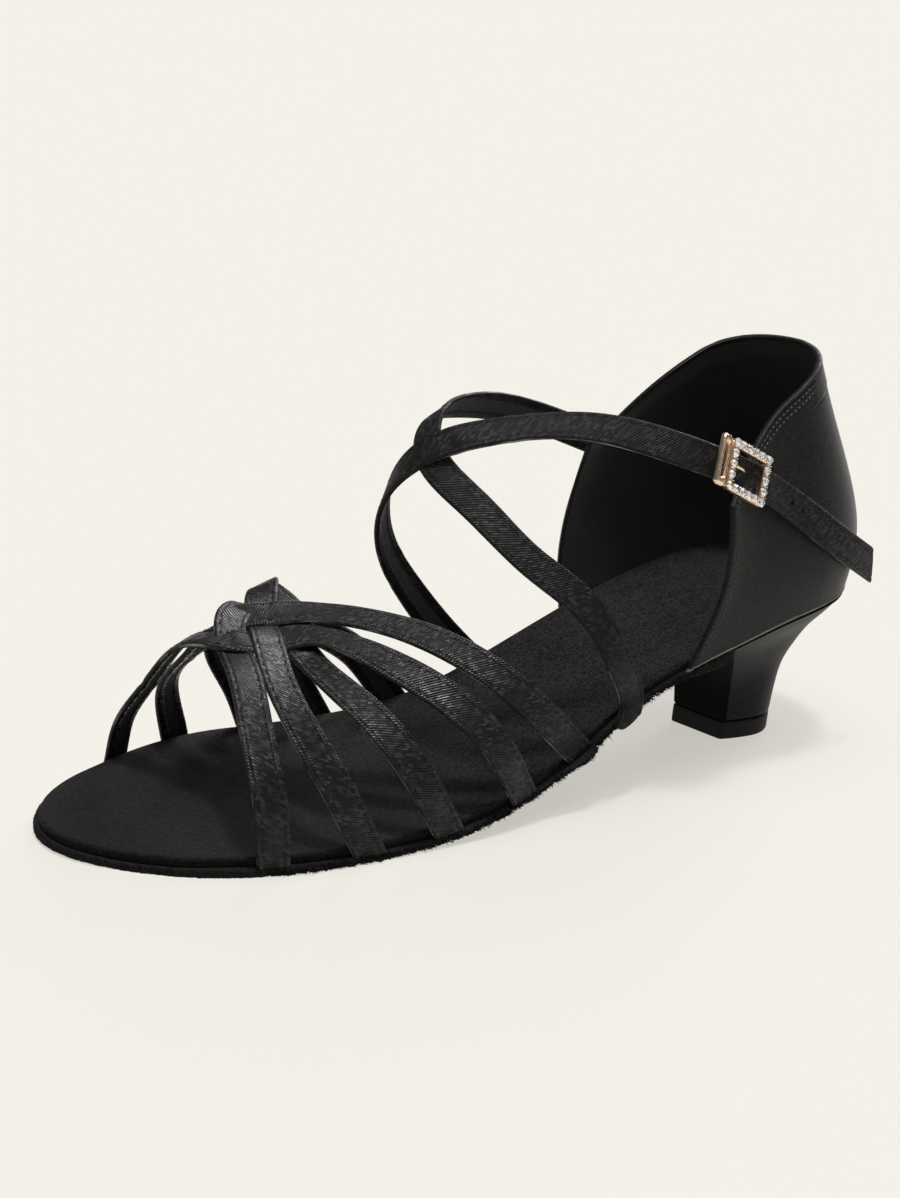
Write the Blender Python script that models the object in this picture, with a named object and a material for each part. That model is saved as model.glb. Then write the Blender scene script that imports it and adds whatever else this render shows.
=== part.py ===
"""Left dance sandal in black satin: woven vamp straps, crossed instep straps, closed counter, flared heel.

Sizes are millimetres on the last: the station runs forward from the back of the heel along the foot,
the across value is negative on the outer side, and the height is measured from the floor.
Each point is placed in metres with the toe towards -X and the outer side towards -Y.
"""

from collections import namedtuple

import bmesh
import bpy
import numpy as np

MM = 0.001
GAP = 0.3                 # clearance between pieces that touch

# The frame's origin is under the middle of the whole shoe.
HEEL_X = 117.5            # place of the heel back along X
AXIS_Y = -3.6             # place of the heel's centre line along Y

# Sole
LENGTH = 236.3
INSOLE_THICK = 2.2
INSOLE_INSET = 2.0        # the insole's edge inside the outsole's edge, beside the straps
TOE_INSET = 1.2           # the same at the toe
TOE_START = 204.0
TOE_RUN = 14.0
INSOLE_ROUND = 0.7
FOREFOOT_TOP = 4.4        # insole surface where the outsole lies on the floor
BREAST = 54.0             # station of the heel's front at the seat
OUTSOLE_ROWS = 96         # sections of the outsole from the breast to the toe

# Heel foot, a D with its flat side forward
TIP_FRONT = 38.0
TIP_BACK = 14.5
TIP_WIDEST = 27.0
TIP_HALF = 9.2
TIP_FRONT_HALF = 7.9
TIP_SKEW = 0.26
TIP_THICK = 5.2
TIP_BEVEL = 0.5
BREAST_POINTS = 7         # points of the heel's flat front between its corners

# Counter
COUNTER_WALL = 1.9
RIM_WIDTH = 3.2           # the rolled edge stands out as a step of this width
RIM_STEP = 0.35
RIM_RAMP = 0.7            # run of the step from the wall up to the rolled edge
COUNTER_HEIGHT = 60.0     # middle height of the wall, and its run from the front edge to the back
COUNTER_RUN = 75.0

# Straps
STRAP_WIDTH = 8.3
INSTEP_WIDTH = 8.3
STRAP_THICK = 1.5
STRAP_EDGE = 0.6          # rounding of the strap's long edges
STRAP_PITCH = 2.8         # distance between sections along a strap
FINE_STEPS = 600          # steps that measure a strap's length
STRAP_TUCK = 9.0          # how far a foot runs on before it is trimmed at the sole
GUIDE_REACH = 8.0         # reach of the trimming guides beyond the sole and below it
GUIDE_DEPTH = 25.0
WEAVE_LIFT = 0.6          # half of the distance between two straps that cross

# Knot over the ball: three straps run up through it and two run along the shoe.
KNOT_CENTRE = (178.3, 5.5, 46.8)
KNOT_FORWARD = (0.985, 0.17, 0.0)
KNOT_INWARD = (-0.37, 0.86, 0.35)
KNOT_FORWARD_PITCH = 8.5
KNOT_INWARD_PITCH = 8.8
KNOT_REACH = 17.0         # how far the knot's own plane turns the straps

# Buckle
BUCKLE_STATION = 63.2
BUCKLE_SKEW = 3.5         # the frame sits a little askew on its strap, in degrees
FRAME_LENGTH = 16.0       # along the strap
FRAME_WIDTH = 13.3
FRAME_BAR = 2.1
FRAME_THICK = 1.5
KEEPER_LENGTH = 3.6
KEEPER_WALL = 1.1
KEEPER_THICK = 1.3
PRONG_LENGTH = 6.5
PRONG_WIDTH = 1.1
STONES_ALONG = 6
STONES_ACROSS = 5
STONE_RADIUS = 1.1
STONE_HEIGHT = 0.9
STONE_SIDES = 8

Outline = namedtuple("Outline", "station lateral medial")
OUTLINE = [
    Outline(0.0, 0.0, 0.0),
    Outline(4.0, 13.2, 13.3),
    Outline(12.0, 20.5, 20.7),
    Outline(22.0, 23.9, 24.2),
    Outline(36.0, 25.6, 26.0),
    Outline(58.0, 26.2, 25.8),
    Outline(76.0, 25.6, 25.8),
    Outline(90.0, 26.4, 27.2),
    Outline(104.0, 29.2, 28.9),
    Outline(118.0, 32.0, 31.5),
    Outline(133.0, 33.9, 35.6),
    Outline(150.0, 34.6, 40.2),
    Outline(170.0, 34.6, 43.0),
    Outline(186.0, 33.4, 41.2),
    Outline(202.0, 29.2, 36.3),
    Outline(215.0, 23.0, 30.2),
    Outline(226.0, 14.3, 23.0),
    Outline(233.0, 6.5, 14.6),
    Outline(LENGTH, -4.5, 4.5),
]

# Where the feet of two straps push the outsole's trimmed edge out, on the outer side.
Bulge = namedtuple("Bulge", "station growth half")
BULGES = [
    Bulge(87.0, 1.2, 5.0),
    Bulge(102.0, 2.6, 6.0),
]

# Insole surface along the middle of the foot: seat, arch, ball and toe spring, and the outsole's thickness.
Level = namedtuple("Level", "station height outsole")
LEVELS = [
    Level(0.0, 46.0, 1.2),
    Level(12.0, 45.4, 1.2),
    Level(22.0, 44.5, 1.2),
    Level(34.0, 42.7, 1.2),
    Level(46.0, 39.9, 1.2),
    Level(58.0, 36.6, 1.2),
    Level(68.0, 33.2, 1.2),
    Level(76.0, 29.9, 1.2),
    Level(84.0, 26.1, 1.2),
    Level(94.0, 21.1, 1.2),
    Level(106.0, 15.5, 1.2),
    Level(118.0, 10.9, 1.3),
    Level(131.0, 7.7, 1.6),
    Level(144.0, 5.6, 1.9),
    Level(158.0, 4.5, 1.9),
    Level(180.0, 4.1, 1.9),
    Level(205.0, 4.1, 1.9),
    Level(222.0, 4.3, 1.9),
    Level(LENGTH, 5.0, 1.9),
]

# Crown of the last above the insole, which turns the faces of the straps.
Crown = namedtuple("Crown", "station rise")
CROWN = [
    Crown(0.0, 64.0),
    Crown(60.0, 68.0),
    Crown(80.0, 77.0),
    Crown(100.0, 84.0),
    Crown(118.0, 82.0),
    Crown(131.0, 75.0),
    Crown(145.0, 63.0),
    Crown(160.0, 51.0),
    Crown(185.0, 46.0),
    Crown(LENGTH, 30.0),
]
CROWN_POWER = 3.0

# Flare of the heel from its foot, share 0, up to the seat, share 1.
Flare = namedtuple("Flare", "share spread")
FLARE = [
    Flare(0.0, 0.0),
    Flare(0.25, 0.045),
    Flare(0.42, 0.125),
    Flare(0.58, 0.295),
    Flare(0.755, 0.545),
    Flare(0.886, 0.805),
    Flare(1.0, 1.0),
]

# Sections of the counter from its lower edge, share 0, to its top line, share 1.
Shell = namedtuple("Shell", "share back radius lateral medial lateral_front medial_front")
SHELL = [
    Shell(0.00, 0.0, 24.0, 26.3, 25.5, 67.5, 70.0),
    Shell(0.22, -1.2, 25.2, 27.5, 27.0, 64.0, 71.0),
    Shell(0.45, 3.2, 24.6, 28.2, 28.1, 61.2, 70.5),
    Shell(0.70, 11.0, 22.6, 28.2, 28.3, 60.4, 68.5),
    Shell(0.85, 15.6, 20.8, 28.0, 28.1, 60.7, 66.6),
    Shell(1.00, 19.9, 19.0, 27.6, 27.6, 61.5, 64.5),
]

# Top line of the counter from its front corner, share 0, to the back, share 1.
Rim = namedtuple("Rim", "share lateral medial")
RIM = [
    Rim(0.0, 76.0, 76.0),
    Rim(0.12, 84.5, 85.8),
    Rim(0.27, 93.5, 95.0),
    Rim(0.50, 102.6, 103.0),
    Rim(0.75, 108.0, 107.3),
    Rim(1.0, 109.0, 109.0),
]

# Straps, each from its first end to its second. A foot stands at the sole's edge, side -1 outside and
# 1 inside, a bend is a point of the route with the turn of the strap's face about its run in degrees,
# and a crossing is a place of the knot's lattice with over, 1, or under, -1.
Foot = namedtuple("Foot", "station side")
Bend = namedtuple("Bend", "station across height turn", defaults=(0.0,))
Crossing = namedtuple("Crossing", "column row layer")
VAMP = {
    "first": [
        Foot(194.5, -1),
        Bend(196.7, -30.2, 20.0),
        Bend(195.2, -20.0, 33.0),
        Bend(191.0, -6.0, 42.0),
        Crossing(1, -0.5, -1),
        Crossing(0.9, 0.5, 1),
        Bend(174.0, 18.0, 46.6, 12.0),
        Bend(174.5, 29.0, 37.0),
        Bend(164.5, 36.3, 19.0),
        Foot(155.5, 1),
    ],
    "second": [
        Foot(170.0, -1),
        Bend(177.4, -32.6, 17.4),
        Bend(183.3, -24.0, 31.0),
        Bend(183.7, -10.8, 40.5),
        Crossing(0, -0.5, 1),
        Crossing(0, 0.5, -1),
        Bend(170.3, 19.3, 51.4, 20.0),
        Bend(162.5, 29.3, 41.0),
        Bend(151.0, 35.2, 23.5),
        Foot(139.0, 1),
    ],
    "third": [
        Foot(146.5, -1),
        Bend(154.8, -33.8, 17.8),
        Bend(163.2, -26.2, 31.0),
        Bend(169.3, -12.9, 38.5),
        Crossing(-1, -0.5, -1),
        Crossing(-1, 0.5, -1),
        Bend(169.0, 21.0, 49.6, 18.0),
        Bend(152.0, 25.8, 37.3),
        Bend(131.5, 29.8, 23.8),
        Foot(119.5, 1),
    ],
    "fourth": [
        Foot(122.5, -1),
        Bend(131.6, -33.6, 22.0),
        Bend(142.9, -28.1, 34.4, -8.0),
        Bend(155.4, -15.0, 42.4, -15.0),
        Crossing(-1, -0.5, 1),
        Crossing(0, -0.5, -1),
        Crossing(1, -0.5, 1),
        Bend(193.2, 12.8, 43.2),
        Bend(196.1, 26.3, 27.4),
        Bend(198.5, 33.4, 14.5),
        Foot(198.2, 1),
    ],
    "fifth": [
        Foot(103.5, -1),
        Bend(116.3, -30.5, 27.6),
        Bend(129.3, -25.7, 38.9, -12.0),
        Bend(141.1, -14.3, 45.8, -26.0),
        Bend(151.7, -3.4, 48.3, -16.0),
        Crossing(-1, 0.5, 1),
        Crossing(0, 0.5, 1),
        Crossing(1, 0.5, -1),
        Bend(186.0, 20.0, 38.5),
        Bend(184.7, 36.4, 21.0, 7.0),
        Foot(178.4, 1),
    ],
}
BUCKLED_STRAP = [
    Foot(97.5, 1),
    Bend(106.2, 26.8, 27.2),
    Bend(120.6, 26.7, 42.8, -20.0),
    Bend(131.6, 24.3, 58.8, -32.0),
    Bend(135.0, 19.2, 73.6, -20.0),
    Bend(130.9, 8.4, 87.0, -18.0),
    Bend(118.0, -1.5, 93.4, -14.0),
    Bend(97.9, -15.4, 96.4, -5.0),
    Bend(81.8, -28.6, 93.2, 4.0),
    Bend(BUCKLE_STATION, -30.5, 86.1, 14.0),
    Bend(41.3, -27.9, 74.5, 6.0),
    Bend(22.5, -27.0, 62.4),
    Bend(3.8, -22.0, 51.6),
]
CROSSED_STRAP = [
    Foot(85.4, -1),
    Bend(93.2, -29.6, 37.2),
    Bend(104.0, -27.0, 53.3),
    Bend(117.0, -18.5, 64.5),
    Bend(127.0, -5.1, 76.4),
    Bend(131.1, 9.9, 86.0),
    Bend(125.5, 17.0, 91.5),
    Bend(112.0, 22.2, 92.2),
    Bend(94.7, 26.7, 88.6),
    Bend(77.6, 28.9, 82.6),
    Bend(60.0, 29.5, 75.5),
]
TAIL_SLANT = -4.5         # lean of the cut at the loose end

BLACK_SATIN = (0.022, 0.022, 0.024)
BLACK_SUEDE = (0.035, 0.034, 0.034)
BLACK_RUBBER = (0.015, 0.015, 0.016)
ROSE_GOLD = (0.86, 0.60, 0.42)
CLEAR_STONE = (0.90, 0.92, 0.95)


def table(rows, column):
    """One named column of a table."""
    return np.array([getattr(row, column) for row in rows], float)


def spline(knots, values, at):
    """Natural cubic spline through values at the knots, read at any places."""
    values = np.asarray(values, float)
    step = np.diff(knots)
    slope = np.diff(values, axis=0) / step.reshape(-1, *[1] * (values.ndim - 1))
    matrix = np.diag(np.concatenate([[1.0], 2.0 * (step[:-1] + step[1:]), [1.0]]))
    matrix += np.diag(np.concatenate([[0.0], step[1:]]), 1)
    matrix += np.diag(np.concatenate([step[:-1], [0.0]]), -1)
    load = np.zeros_like(values)
    load[1:-1] = 6.0 * np.diff(slope, axis=0)
    bend = np.linalg.solve(matrix, load)
    at = np.asarray(at, float)
    i = np.clip(np.searchsorted(knots, at) - 1, 0, len(step) - 1)
    shape = at.shape + (1,) * (values.ndim - 1)
    span = step[i].reshape(shape)
    late = ((at - knots[i]) / step[i]).reshape(shape)
    early = 1.0 - late
    curve = ((early ** 3 - early) * bend[i] + (late ** 3 - late) * bend[i + 1]) * span ** 2 / 6.0
    return early * values[i] + late * values[i + 1] + curve


def unit(vectors):
    """Vectors of length one."""
    vectors = np.asarray(vectors, float)
    return vectors / np.linalg.norm(vectors, axis=-1, keepdims=True)


def share_of(station):
    """Angle share of a station, which crowds the rows where the outline closes at heel and toe."""
    return np.arccos(1.0 - 2.0 * np.clip(station, 0.0, LENGTH) / LENGTH) / np.pi


def half_width(share, column):
    """Half width of the sole on one side."""
    return spline(share_of(table(OUTLINE, "station")), table(OUTLINE, column), share)


def loop(place):
    """Point of the sole's edge: places 0 to 1 run up the outer side to the toe, 1 to 2 back down inside."""
    place = np.mod(place, 2.0)
    outer = place <= 1.0
    share = np.where(outer, place, 2.0 - place)
    across = np.where(outer, -half_width(share, "lateral"), half_width(share, "medial"))
    return np.stack([LENGTH * (1.0 - np.cos(np.pi * share)) / 2.0, across], -1)


def edge_normal(place):
    """Direction straight out of the sole's edge."""
    step = 0.002
    run = loop(place + step) - loop(place - step)
    return unit(np.stack([run[..., 1], -run[..., 0]], -1))


def edge(place, grow=0.0):
    """Sole's edge moved straight out by a distance, or in by a negative one."""
    return loop(place) + np.asarray(grow)[..., None] * edge_normal(place)


def insole_grow(place, more=0.0):
    """Growth of the sole's edge that gives the insole's edge, which comes nearer to it round the toe."""
    toe = np.clip((loop(place)[..., 0] - TOE_START) / TOE_RUN, 0.0, 1.0)
    return more - INSOLE_INSET + (INSOLE_INSET - TOE_INSET) * toe ** 2 * (3.0 - 2.0 * toe)


def outsole_grow(place):
    """The outsole has the outline's own edge, pushed out by two strap feet on the outer side."""
    station = loop(place)[..., 0]
    pushed = sum(row.growth * np.exp(-((station - row.station) / row.half) ** 2) for row in BULGES)
    return np.where(np.mod(place, 2.0) <= 1.0, pushed, 0.0)


def place_of(station, side):
    """Place on the loop of a station on one side."""
    share = share_of(station)
    return np.where(np.asarray(side) < 0, share, 2.0 - share)


def insole_top(station):
    """Height of the insole, level where the ball lies on the floor."""
    curve = spline(table(LEVELS, "station"), table(LEVELS, "height"), np.clip(station, 0.0, LENGTH))
    return np.maximum(curve, FOREFOOT_TOP)


def insole_bottom(station):
    """Height of the underside of the insole."""
    return insole_top(station) - INSOLE_THICK


def seat_top(station):
    """Height of what the insole lies on: the outsole, and the heel behind it."""
    return insole_bottom(station) - GAP


def outsole_bottom(station):
    """Height of the tread."""
    return seat_top(station) - np.interp(station, table(LEVELS, "station"), table(LEVELS, "outsole"))


def placed(points):
    """Points of the last in the frame's metres."""
    points = np.asarray(points, float)
    return np.stack([HEEL_X - points[:, 0], points[:, 1] + AXIS_Y, points[:, 2]], 1) * MM


def finish_material(name, colour, roughness, metallic=0.0):
    """Principled material of one finish."""
    material = bpy.data.materials.get(name)
    if material is None:
        material = bpy.data.materials.new(name)
        material.use_nodes = True
        shader = material.node_tree.nodes["Principled BSDF"]
        shader.inputs["Base Color"].default_value = (*colour, 1.0)
        shader.inputs["Roughness"].default_value = roughness
        shader.inputs["Metallic"].default_value = metallic
    return material


def solid(name, points, faces, material, smooth_angle=0.7):
    """Closed mesh object from points of the last, with its faces turned outwards."""
    mesh = bpy.data.meshes.new(name)
    mesh.from_pydata(placed(points).tolist(), [], [list(face) for face in faces])
    body = bmesh.new()
    body.from_mesh(mesh)
    bmesh.ops.remove_doubles(body, verts=body.verts, dist=0.01 * MM)
    bmesh.ops.dissolve_degenerate(body, edges=body.edges, dist=0.005 * MM)
    bmesh.ops.recalc_face_normals(body, faces=body.faces)
    body.to_mesh(mesh)
    body.free()
    mesh.shade_smooth()
    mesh.set_sharp_from_angle(angle=smooth_angle)
    item = bpy.data.objects.new(name, mesh)
    item.data.materials.append(material)
    bpy.context.scene.collection.objects.link(item)
    return item


def hidden(item):
    """Marks a guide or cutter, which is no piece of the shoe."""
    item.hide_render = True
    item.display_type = "WIRE"
    return item


def combine(item, other, operation):
    """Boolean of a piece with a guide."""
    step = item.modifiers.new(f"{operation.lower()}_{other.name}", "BOOLEAN")
    step.operation = operation
    step.solver = "EXACT"
    step.object = hidden(other)


def band_faces(first, second, closed=True):
    """Quads between two rows of vertex numbers."""
    count = len(first)
    last = count if closed else count - 1
    return [(first[i], first[(i + 1) % count], second[(i + 1) % count], second[i]) for i in range(last)]


def slab(name, rings, material, start=0.0, rows=52):
    """Solid on the sole's outline through rings of (growth function, height function), bottom first.

    Each ring runs up the outer side and back down the inner side, and quads across the sole close
    the lowest and the highest ring.
    """
    share = np.linspace(share_of(start), 1.0, rows)
    place = np.concatenate([share, 2.0 - share[::-1]])
    points = []
    for grow, height in rings:
        plan = edge(place, grow(place))
        points.append(np.column_stack([plan, height(plan[:, 0])]))
    around = 2 * rows
    numbers = np.arange(around * len(rings)).reshape(len(rings), around)
    faces = []
    for lower, upper in zip(numbers[:-1], numbers[1:]):
        faces += band_faces(lower, upper)
    for ring in (numbers[0], numbers[-1]):
        faces += band_faces(ring[:rows], ring[::-1][:rows], closed=False)
    return solid(name, np.concatenate(points), faces, material)


def make_outsole(suede):
    """Thin sole from the toe to the breast of the heel."""
    rings = [(outsole_grow, outsole_bottom), (outsole_grow, seat_top)]
    return slab("outsole", rings, suede, start=BREAST + GAP, rows=OUTSOLE_ROWS)


def make_insole(suede):
    """Insole board with its sock, its upper edge rounded."""
    rings = [
        (insole_grow, insole_bottom),
        (insole_grow, lambda station: insole_top(station) - INSOLE_ROUND),
        (lambda place: insole_grow(place, -INSOLE_ROUND), insole_top),
    ]
    return slab("insole", rings, suede)


def tip_half(station):
    """Half width of the heel's foot: a round back, and sides that draw in to the flat front."""
    back = np.clip((TIP_WIDEST - station) / (TIP_WIDEST - TIP_BACK), 0.0, 1.0)
    front = np.clip((station - TIP_WIDEST) / (TIP_FRONT - TIP_WIDEST), 0.0, 1.0)
    return TIP_HALF * np.sqrt(1.0 - back ** 2) - (TIP_HALF - TIP_FRONT_HALF) * front ** 2


def heel_rings(sides=15):
    """Plan of the heel's foot and of its seat, both from the outer front corner round the back."""
    turn = np.linspace(0.0, 1.0, sides)
    station = TIP_BACK + (TIP_FRONT - TIP_BACK) * (1.0 - np.sin(turn * np.pi / 2.0))
    outer = np.column_stack([station, -tip_half(station)])
    foot = np.concatenate([outer, (outer * [1.0, -1.0])[::-1][1:]])
    foot[:, 0] += TIP_SKEW * foot[:, 1] * (foot[:, 0] - TIP_BACK) / (TIP_FRONT - TIP_BACK)
    share = share_of(BREAST) * (1.0 - turn)
    seat = np.concatenate([edge(share), edge(2.0 - share[::-1][1:])])
    across = np.linspace(1.0, 0.0, BREAST_POINTS + 2)[1:-1, None]
    foot_front = foot[:1] + (foot[-1:] - foot[:1]) * across
    seat_front = seat[:1] + (seat[-1:] - seat[:1]) * across
    return np.concatenate([foot, foot_front]), np.concatenate([seat, seat_front])


def make_heel_block(satin):
    """Heel that flares from its foot up to the seat, hollowed along its back and sides."""
    foot, seat = heel_rings()
    low = TIP_THICK + GAP
    high = seat_top(seat[:, 0])
    shares = np.linspace(0.0, 1.0, 11)
    spreads = spline(table(FLARE, "share"), table(FLARE, "spread"), shares)
    points = []
    for share, spread in zip(shares, spreads):
        points.append(np.column_stack([foot + (seat - foot) * spread, low + (high - low) * share]))
    around = len(foot)
    numbers = np.arange(around * len(shares)).reshape(len(shares), around)
    faces = []
    for lower, upper in zip(numbers[:-1], numbers[1:]):
        faces += band_faces(lower, upper)
    half = around - BREAST_POINTS
    faces.append(numbers[0])
    top = numbers[-1][:half]
    faces += band_faces(top[:half // 2], top[::-1][:half // 2], closed=False)
    middle = half // 2
    faces.append((top[middle - 1], top[middle], top[middle + 1]))
    faces.append([top[0], *numbers[-1][half:][::-1], top[-1]])
    return solid("heel_block", np.concatenate(points), faces, satin)


def make_heel_tip(rubber):
    """Top piece under the heel, flat on the floor, with a small bevel round its foot."""
    foot, _ = heel_rings()
    centre = np.array([(TIP_FRONT + TIP_BACK) / 2.0, 0.0])
    inner = foot - unit(foot - centre) * TIP_BEVEL
    levels = [(inner, 0.0), (foot, TIP_BEVEL), (foot, TIP_THICK)]
    points = [np.column_stack([plan, np.full(len(plan), height)]) for plan, height in levels]
    numbers = np.arange(len(foot) * len(levels)).reshape(len(levels), len(foot))
    faces = [numbers[0], numbers[-1]]
    for lower, upper in zip(numbers[:-1], numbers[1:]):
        faces += band_faces(lower, upper)
    return solid("heel_tip", np.concatenate(points), faces, rubber)


def shell_section(along, share, column):
    """Plan of the counter's outer face: along 0 at the front edge to 1 at the back, share up the wall.

    Each section is an arc round the heel that runs on into a side which widens to the front edge.
    """
    shares = table(SHELL, "share")
    back = spline(shares, table(SHELL, "back"), share)
    radius = spline(shares, table(SHELL, "radius"), share)
    wide = spline(shares, table(SHELL, column), share)
    front = spline(shares, table(SHELL, column + "_front"), share)
    straight = front - back - radius
    travelled = along * (straight + radius * np.pi / 2.0)
    ahead = np.clip(1.0 - travelled / straight, 0.0, 1.0)
    angle = np.clip((travelled - straight) / radius, 0.0, np.pi / 2.0)
    station = back + radius * (1.0 - np.sin(angle)) + straight * ahead
    return station, radius * np.cos(angle) + (wide - radius) * ahead ** 2


def counter_side(along, share, side):
    """Outer face of the counter on one side, its lower edge drawn to the sole's own outline."""
    column = "lateral" if side < 0 else "medial"
    station, across = shell_section(along, share, column)
    foot_station, foot_across = shell_section(along, np.zeros_like(share), column)
    across = across + (half_width(share_of(foot_station), column) - foot_across) * (1.0 - share) ** 3
    low = insole_bottom(np.maximum(station, 0.0))
    high = spline(table(RIM, "share"), table(RIM, column), along)
    return np.stack([station, side * across, low + (high - low) * share], -1)


def counter_grid():
    """Outer face of the counter: rows up the wall, columns from the outer front round to the inner front.

    Two rows and two columns lie close together where the rolled edge begins, to make its step.
    """
    edge_share = RIM_WIDTH / COUNTER_HEIGHT
    step_share = edge_share + RIM_RAMP / COUNTER_HEIGHT
    up = np.concatenate([np.linspace(0.0, 1.0 - step_share, 11), [1.0 - edge_share, 1.0]])
    front_share = RIM_WIDTH / COUNTER_RUN
    front_step = front_share + RIM_RAMP / COUNTER_RUN
    run = np.concatenate([[0.0, front_share], np.linspace(front_step, 1.0, 17)])
    along, share = np.meshgrid(run, up)
    outer = counter_side(along, share, -1)
    inner = counter_side(along[:, ::-1], share, 1)[:, 1:]
    rim = (along <= front_share + 1e-6) | (share >= 1.0 - edge_share - 1e-6)
    return np.concatenate([outer, inner], 1), np.concatenate([rim, rim[:, ::-1][:, 1:]], 1)


def grid_normals(grid):
    """Unit normals of a grid of points, by the runs along its rows and columns."""
    along = np.gradient(grid, axis=1)
    up = np.gradient(grid, axis=0)
    return unit(np.cross(up, along))


def make_counter(satin):
    """Closed shell round the heel, a wall of even thickness with a raised rolled edge."""
    face, rim = counter_grid()
    normal = grid_normals(face)
    middle = face.mean((0, 1))
    if np.sum(normal * (face - middle)) < 0.0:
        normal = -normal
    level = normal * [1.0, 1.0, 0.0]
    normal[0] = unit(level[0])
    outside = face + normal * np.where(rim, RIM_STEP, 0.0)[..., None]
    outside[0] = face[0]
    inside = face - normal * COUNTER_WALL
    rows, columns = face.shape[:2]
    numbers = np.arange(2 * rows * columns).reshape(2, rows, columns)
    faces = []
    for layer in numbers:
        for lower, upper in zip(layer[:-1], layer[1:]):
            faces += band_faces(lower, upper, closed=False)
    for border in ((slice(None), 0), (slice(None), -1), (0, slice(None)), (-1, slice(None))):
        faces += band_faces(numbers[0][border], numbers[1][border], closed=False)
    points = np.concatenate([outside.reshape(-1, 3), inside.reshape(-1, 3)])
    return solid("counter", points, faces, satin)


def knot_axes():
    """Directions of the knot: along the shoe, inwards, and out of the foot."""
    forward = unit(KNOT_FORWARD)
    inward = unit(KNOT_INWARD)
    out = unit(np.cross(inward, forward))
    return forward, inward, out * np.sign(out[2])


def knot_point(crossing):
    """Middle of a strap where it passes over or under another in the knot."""
    forward, inward, out = knot_axes()
    point = np.array(KNOT_CENTRE) + forward * (crossing.column * KNOT_FORWARD_PITCH)
    point = point + inward * (crossing.row * KNOT_INWARD_PITCH)
    return point + out * (crossing.layer * WEAVE_LIFT)


def foot_points(foot, near):
    """Two points of a strap's foot: the run below the insole that the sole trims, and beside the insole.

    The run goes straight on from the strap's nearest bend.
    """
    grow = -INSOLE_INSET + GAP + STRAP_THICK / 2.0
    plan = edge(place_of(foot.station, foot.side), grow)
    point = np.append(plan, insole_top(foot.station))
    return [point + unit(point - near[:3]) * STRAP_TUCK, point]


def route_points(rows):
    """Evenly spaced middle line of a strap through its feet, bends and crossings, and its face's turn there."""
    points = []
    turns = []
    for i, row in enumerate(rows):
        if isinstance(row, Foot):
            pair = foot_points(row, rows[1] if i == 0 else rows[-2])
            points += pair if i == 0 else pair[::-1]
            turns += [0.0, 0.0]
        elif isinstance(row, Crossing):
            points.append(knot_point(row))
            turns.append(0.0)
        else:
            points.append(np.array(row[:3], float))
            turns.append(row.turn)
    points = np.array(points)
    chord = np.concatenate([[0.0], np.cumsum(np.linalg.norm(np.diff(points, axis=0), axis=1))])
    fine = np.linspace(0.0, chord[-1], FINE_STEPS)
    line = spline(chord, points, fine)
    run = np.concatenate([[0.0], np.cumsum(np.linalg.norm(np.diff(line, axis=0), axis=1))])
    even = np.linspace(0.0, run[-1], int(round(run[-1] / STRAP_PITCH)) + 1)
    route = np.column_stack([np.interp(even, run, line[:, k]) for k in range(3)])
    return route, np.interp(even, run, spline(chord, turns, fine))


def facing(points):
    """Outward direction of the last at points of a strap.

    The sides face straight out of the sole's edge, the crown faces up its own slope, and the knot has
    a plane of its own.
    """
    station, across, height = points.T
    side = np.where(across < 0.0, -1, 1)
    place = place_of(np.maximum(station, OUTLINE[4].station), side)
    sideways = edge_normal(place)
    wide = np.abs(loop(place)[:, 1])
    rise = spline(table(CROWN, "station"), table(CROWN, "rise"), station)
    ahead = spline(table(CROWN, "station"), table(CROWN, "rise"), station + 1.0) + insole_top(station + 1.0)
    fall = rise + insole_top(station) - ahead
    up = np.clip((height - insole_top(station)) / rise, 0.0, None) ** (CROWN_POWER - 1.0) / rise
    out = (np.abs(across) / wide) ** (CROWN_POWER - 1.0) / wide
    crest = unit(np.column_stack([fall, np.zeros_like(fall), np.ones_like(fall)]))
    level = np.column_stack([sideways, np.zeros_like(fall)])
    normal = unit(level * out[:, None] + crest * up[:, None])
    away = np.linalg.norm(points - np.array(KNOT_CENTRE), axis=1)
    share = np.exp(-(away / KNOT_REACH) ** 2)[:, None]
    return unit(normal * (1.0 - share) + knot_axes()[2] * share)


def strap_axes(rows):
    """Middle line of a strap with its directions: along, across the band, and out of its face."""
    route, turn = route_points(rows)
    run = unit(np.gradient(route, axis=0))
    level = unit(np.cross(run, facing(route)))
    rise = np.cross(level, run)
    turn = np.radians(turn)[:, None]
    return route, run, level * np.cos(turn) - rise * np.sin(turn), rise * np.cos(turn) + level * np.sin(turn)


def strap(name, rows, satin, width=STRAP_WIDTH, end_slant=0.0):
    """Band with a flat hexagon section carried along a route, its face turned to the outside of the last."""
    route, run, across, out = strap_axes(rows)
    half = width / 2.0
    flat = half - STRAP_EDGE
    thick = STRAP_THICK / 2.0
    section = [(half, 0.0), (flat, thick), (-flat, thick), (-half, 0.0), (-flat, -thick), (flat, -thick)]
    rings = np.stack([route + across * wide + out * high for wide, high in section], 1)
    rings[-1] += run[-1] * (np.array(section)[:, :1] / half * end_slant)
    sides = len(section)
    numbers = np.arange(rings.size // 3).reshape(-1, sides)
    faces = [numbers[0], numbers[-1]]
    for lower, upper in zip(numbers[:-1], numbers[1:]):
        faces += band_faces(lower, upper)
    return solid(name, rings.reshape(-1, 3), faces, satin)


def sole_cutters(suede):
    """Guides that trim the feet of the straps: everything under the sole's surface, and the insole's side."""
    wide = lambda place: np.full_like(place, GUIDE_REACH)
    clear = lambda place: insole_grow(place, GAP)
    deep = lambda station: seat_top(station) - GUIDE_DEPTH
    below = slab("sole_guide", [(wide, deep), (wide, lambda station: seat_top(station) + GAP)], suede)
    beside = slab("insole_guide", [(clear, deep), (clear, lambda station: insole_top(station) + GAP)], suede)
    return below, beside


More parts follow.
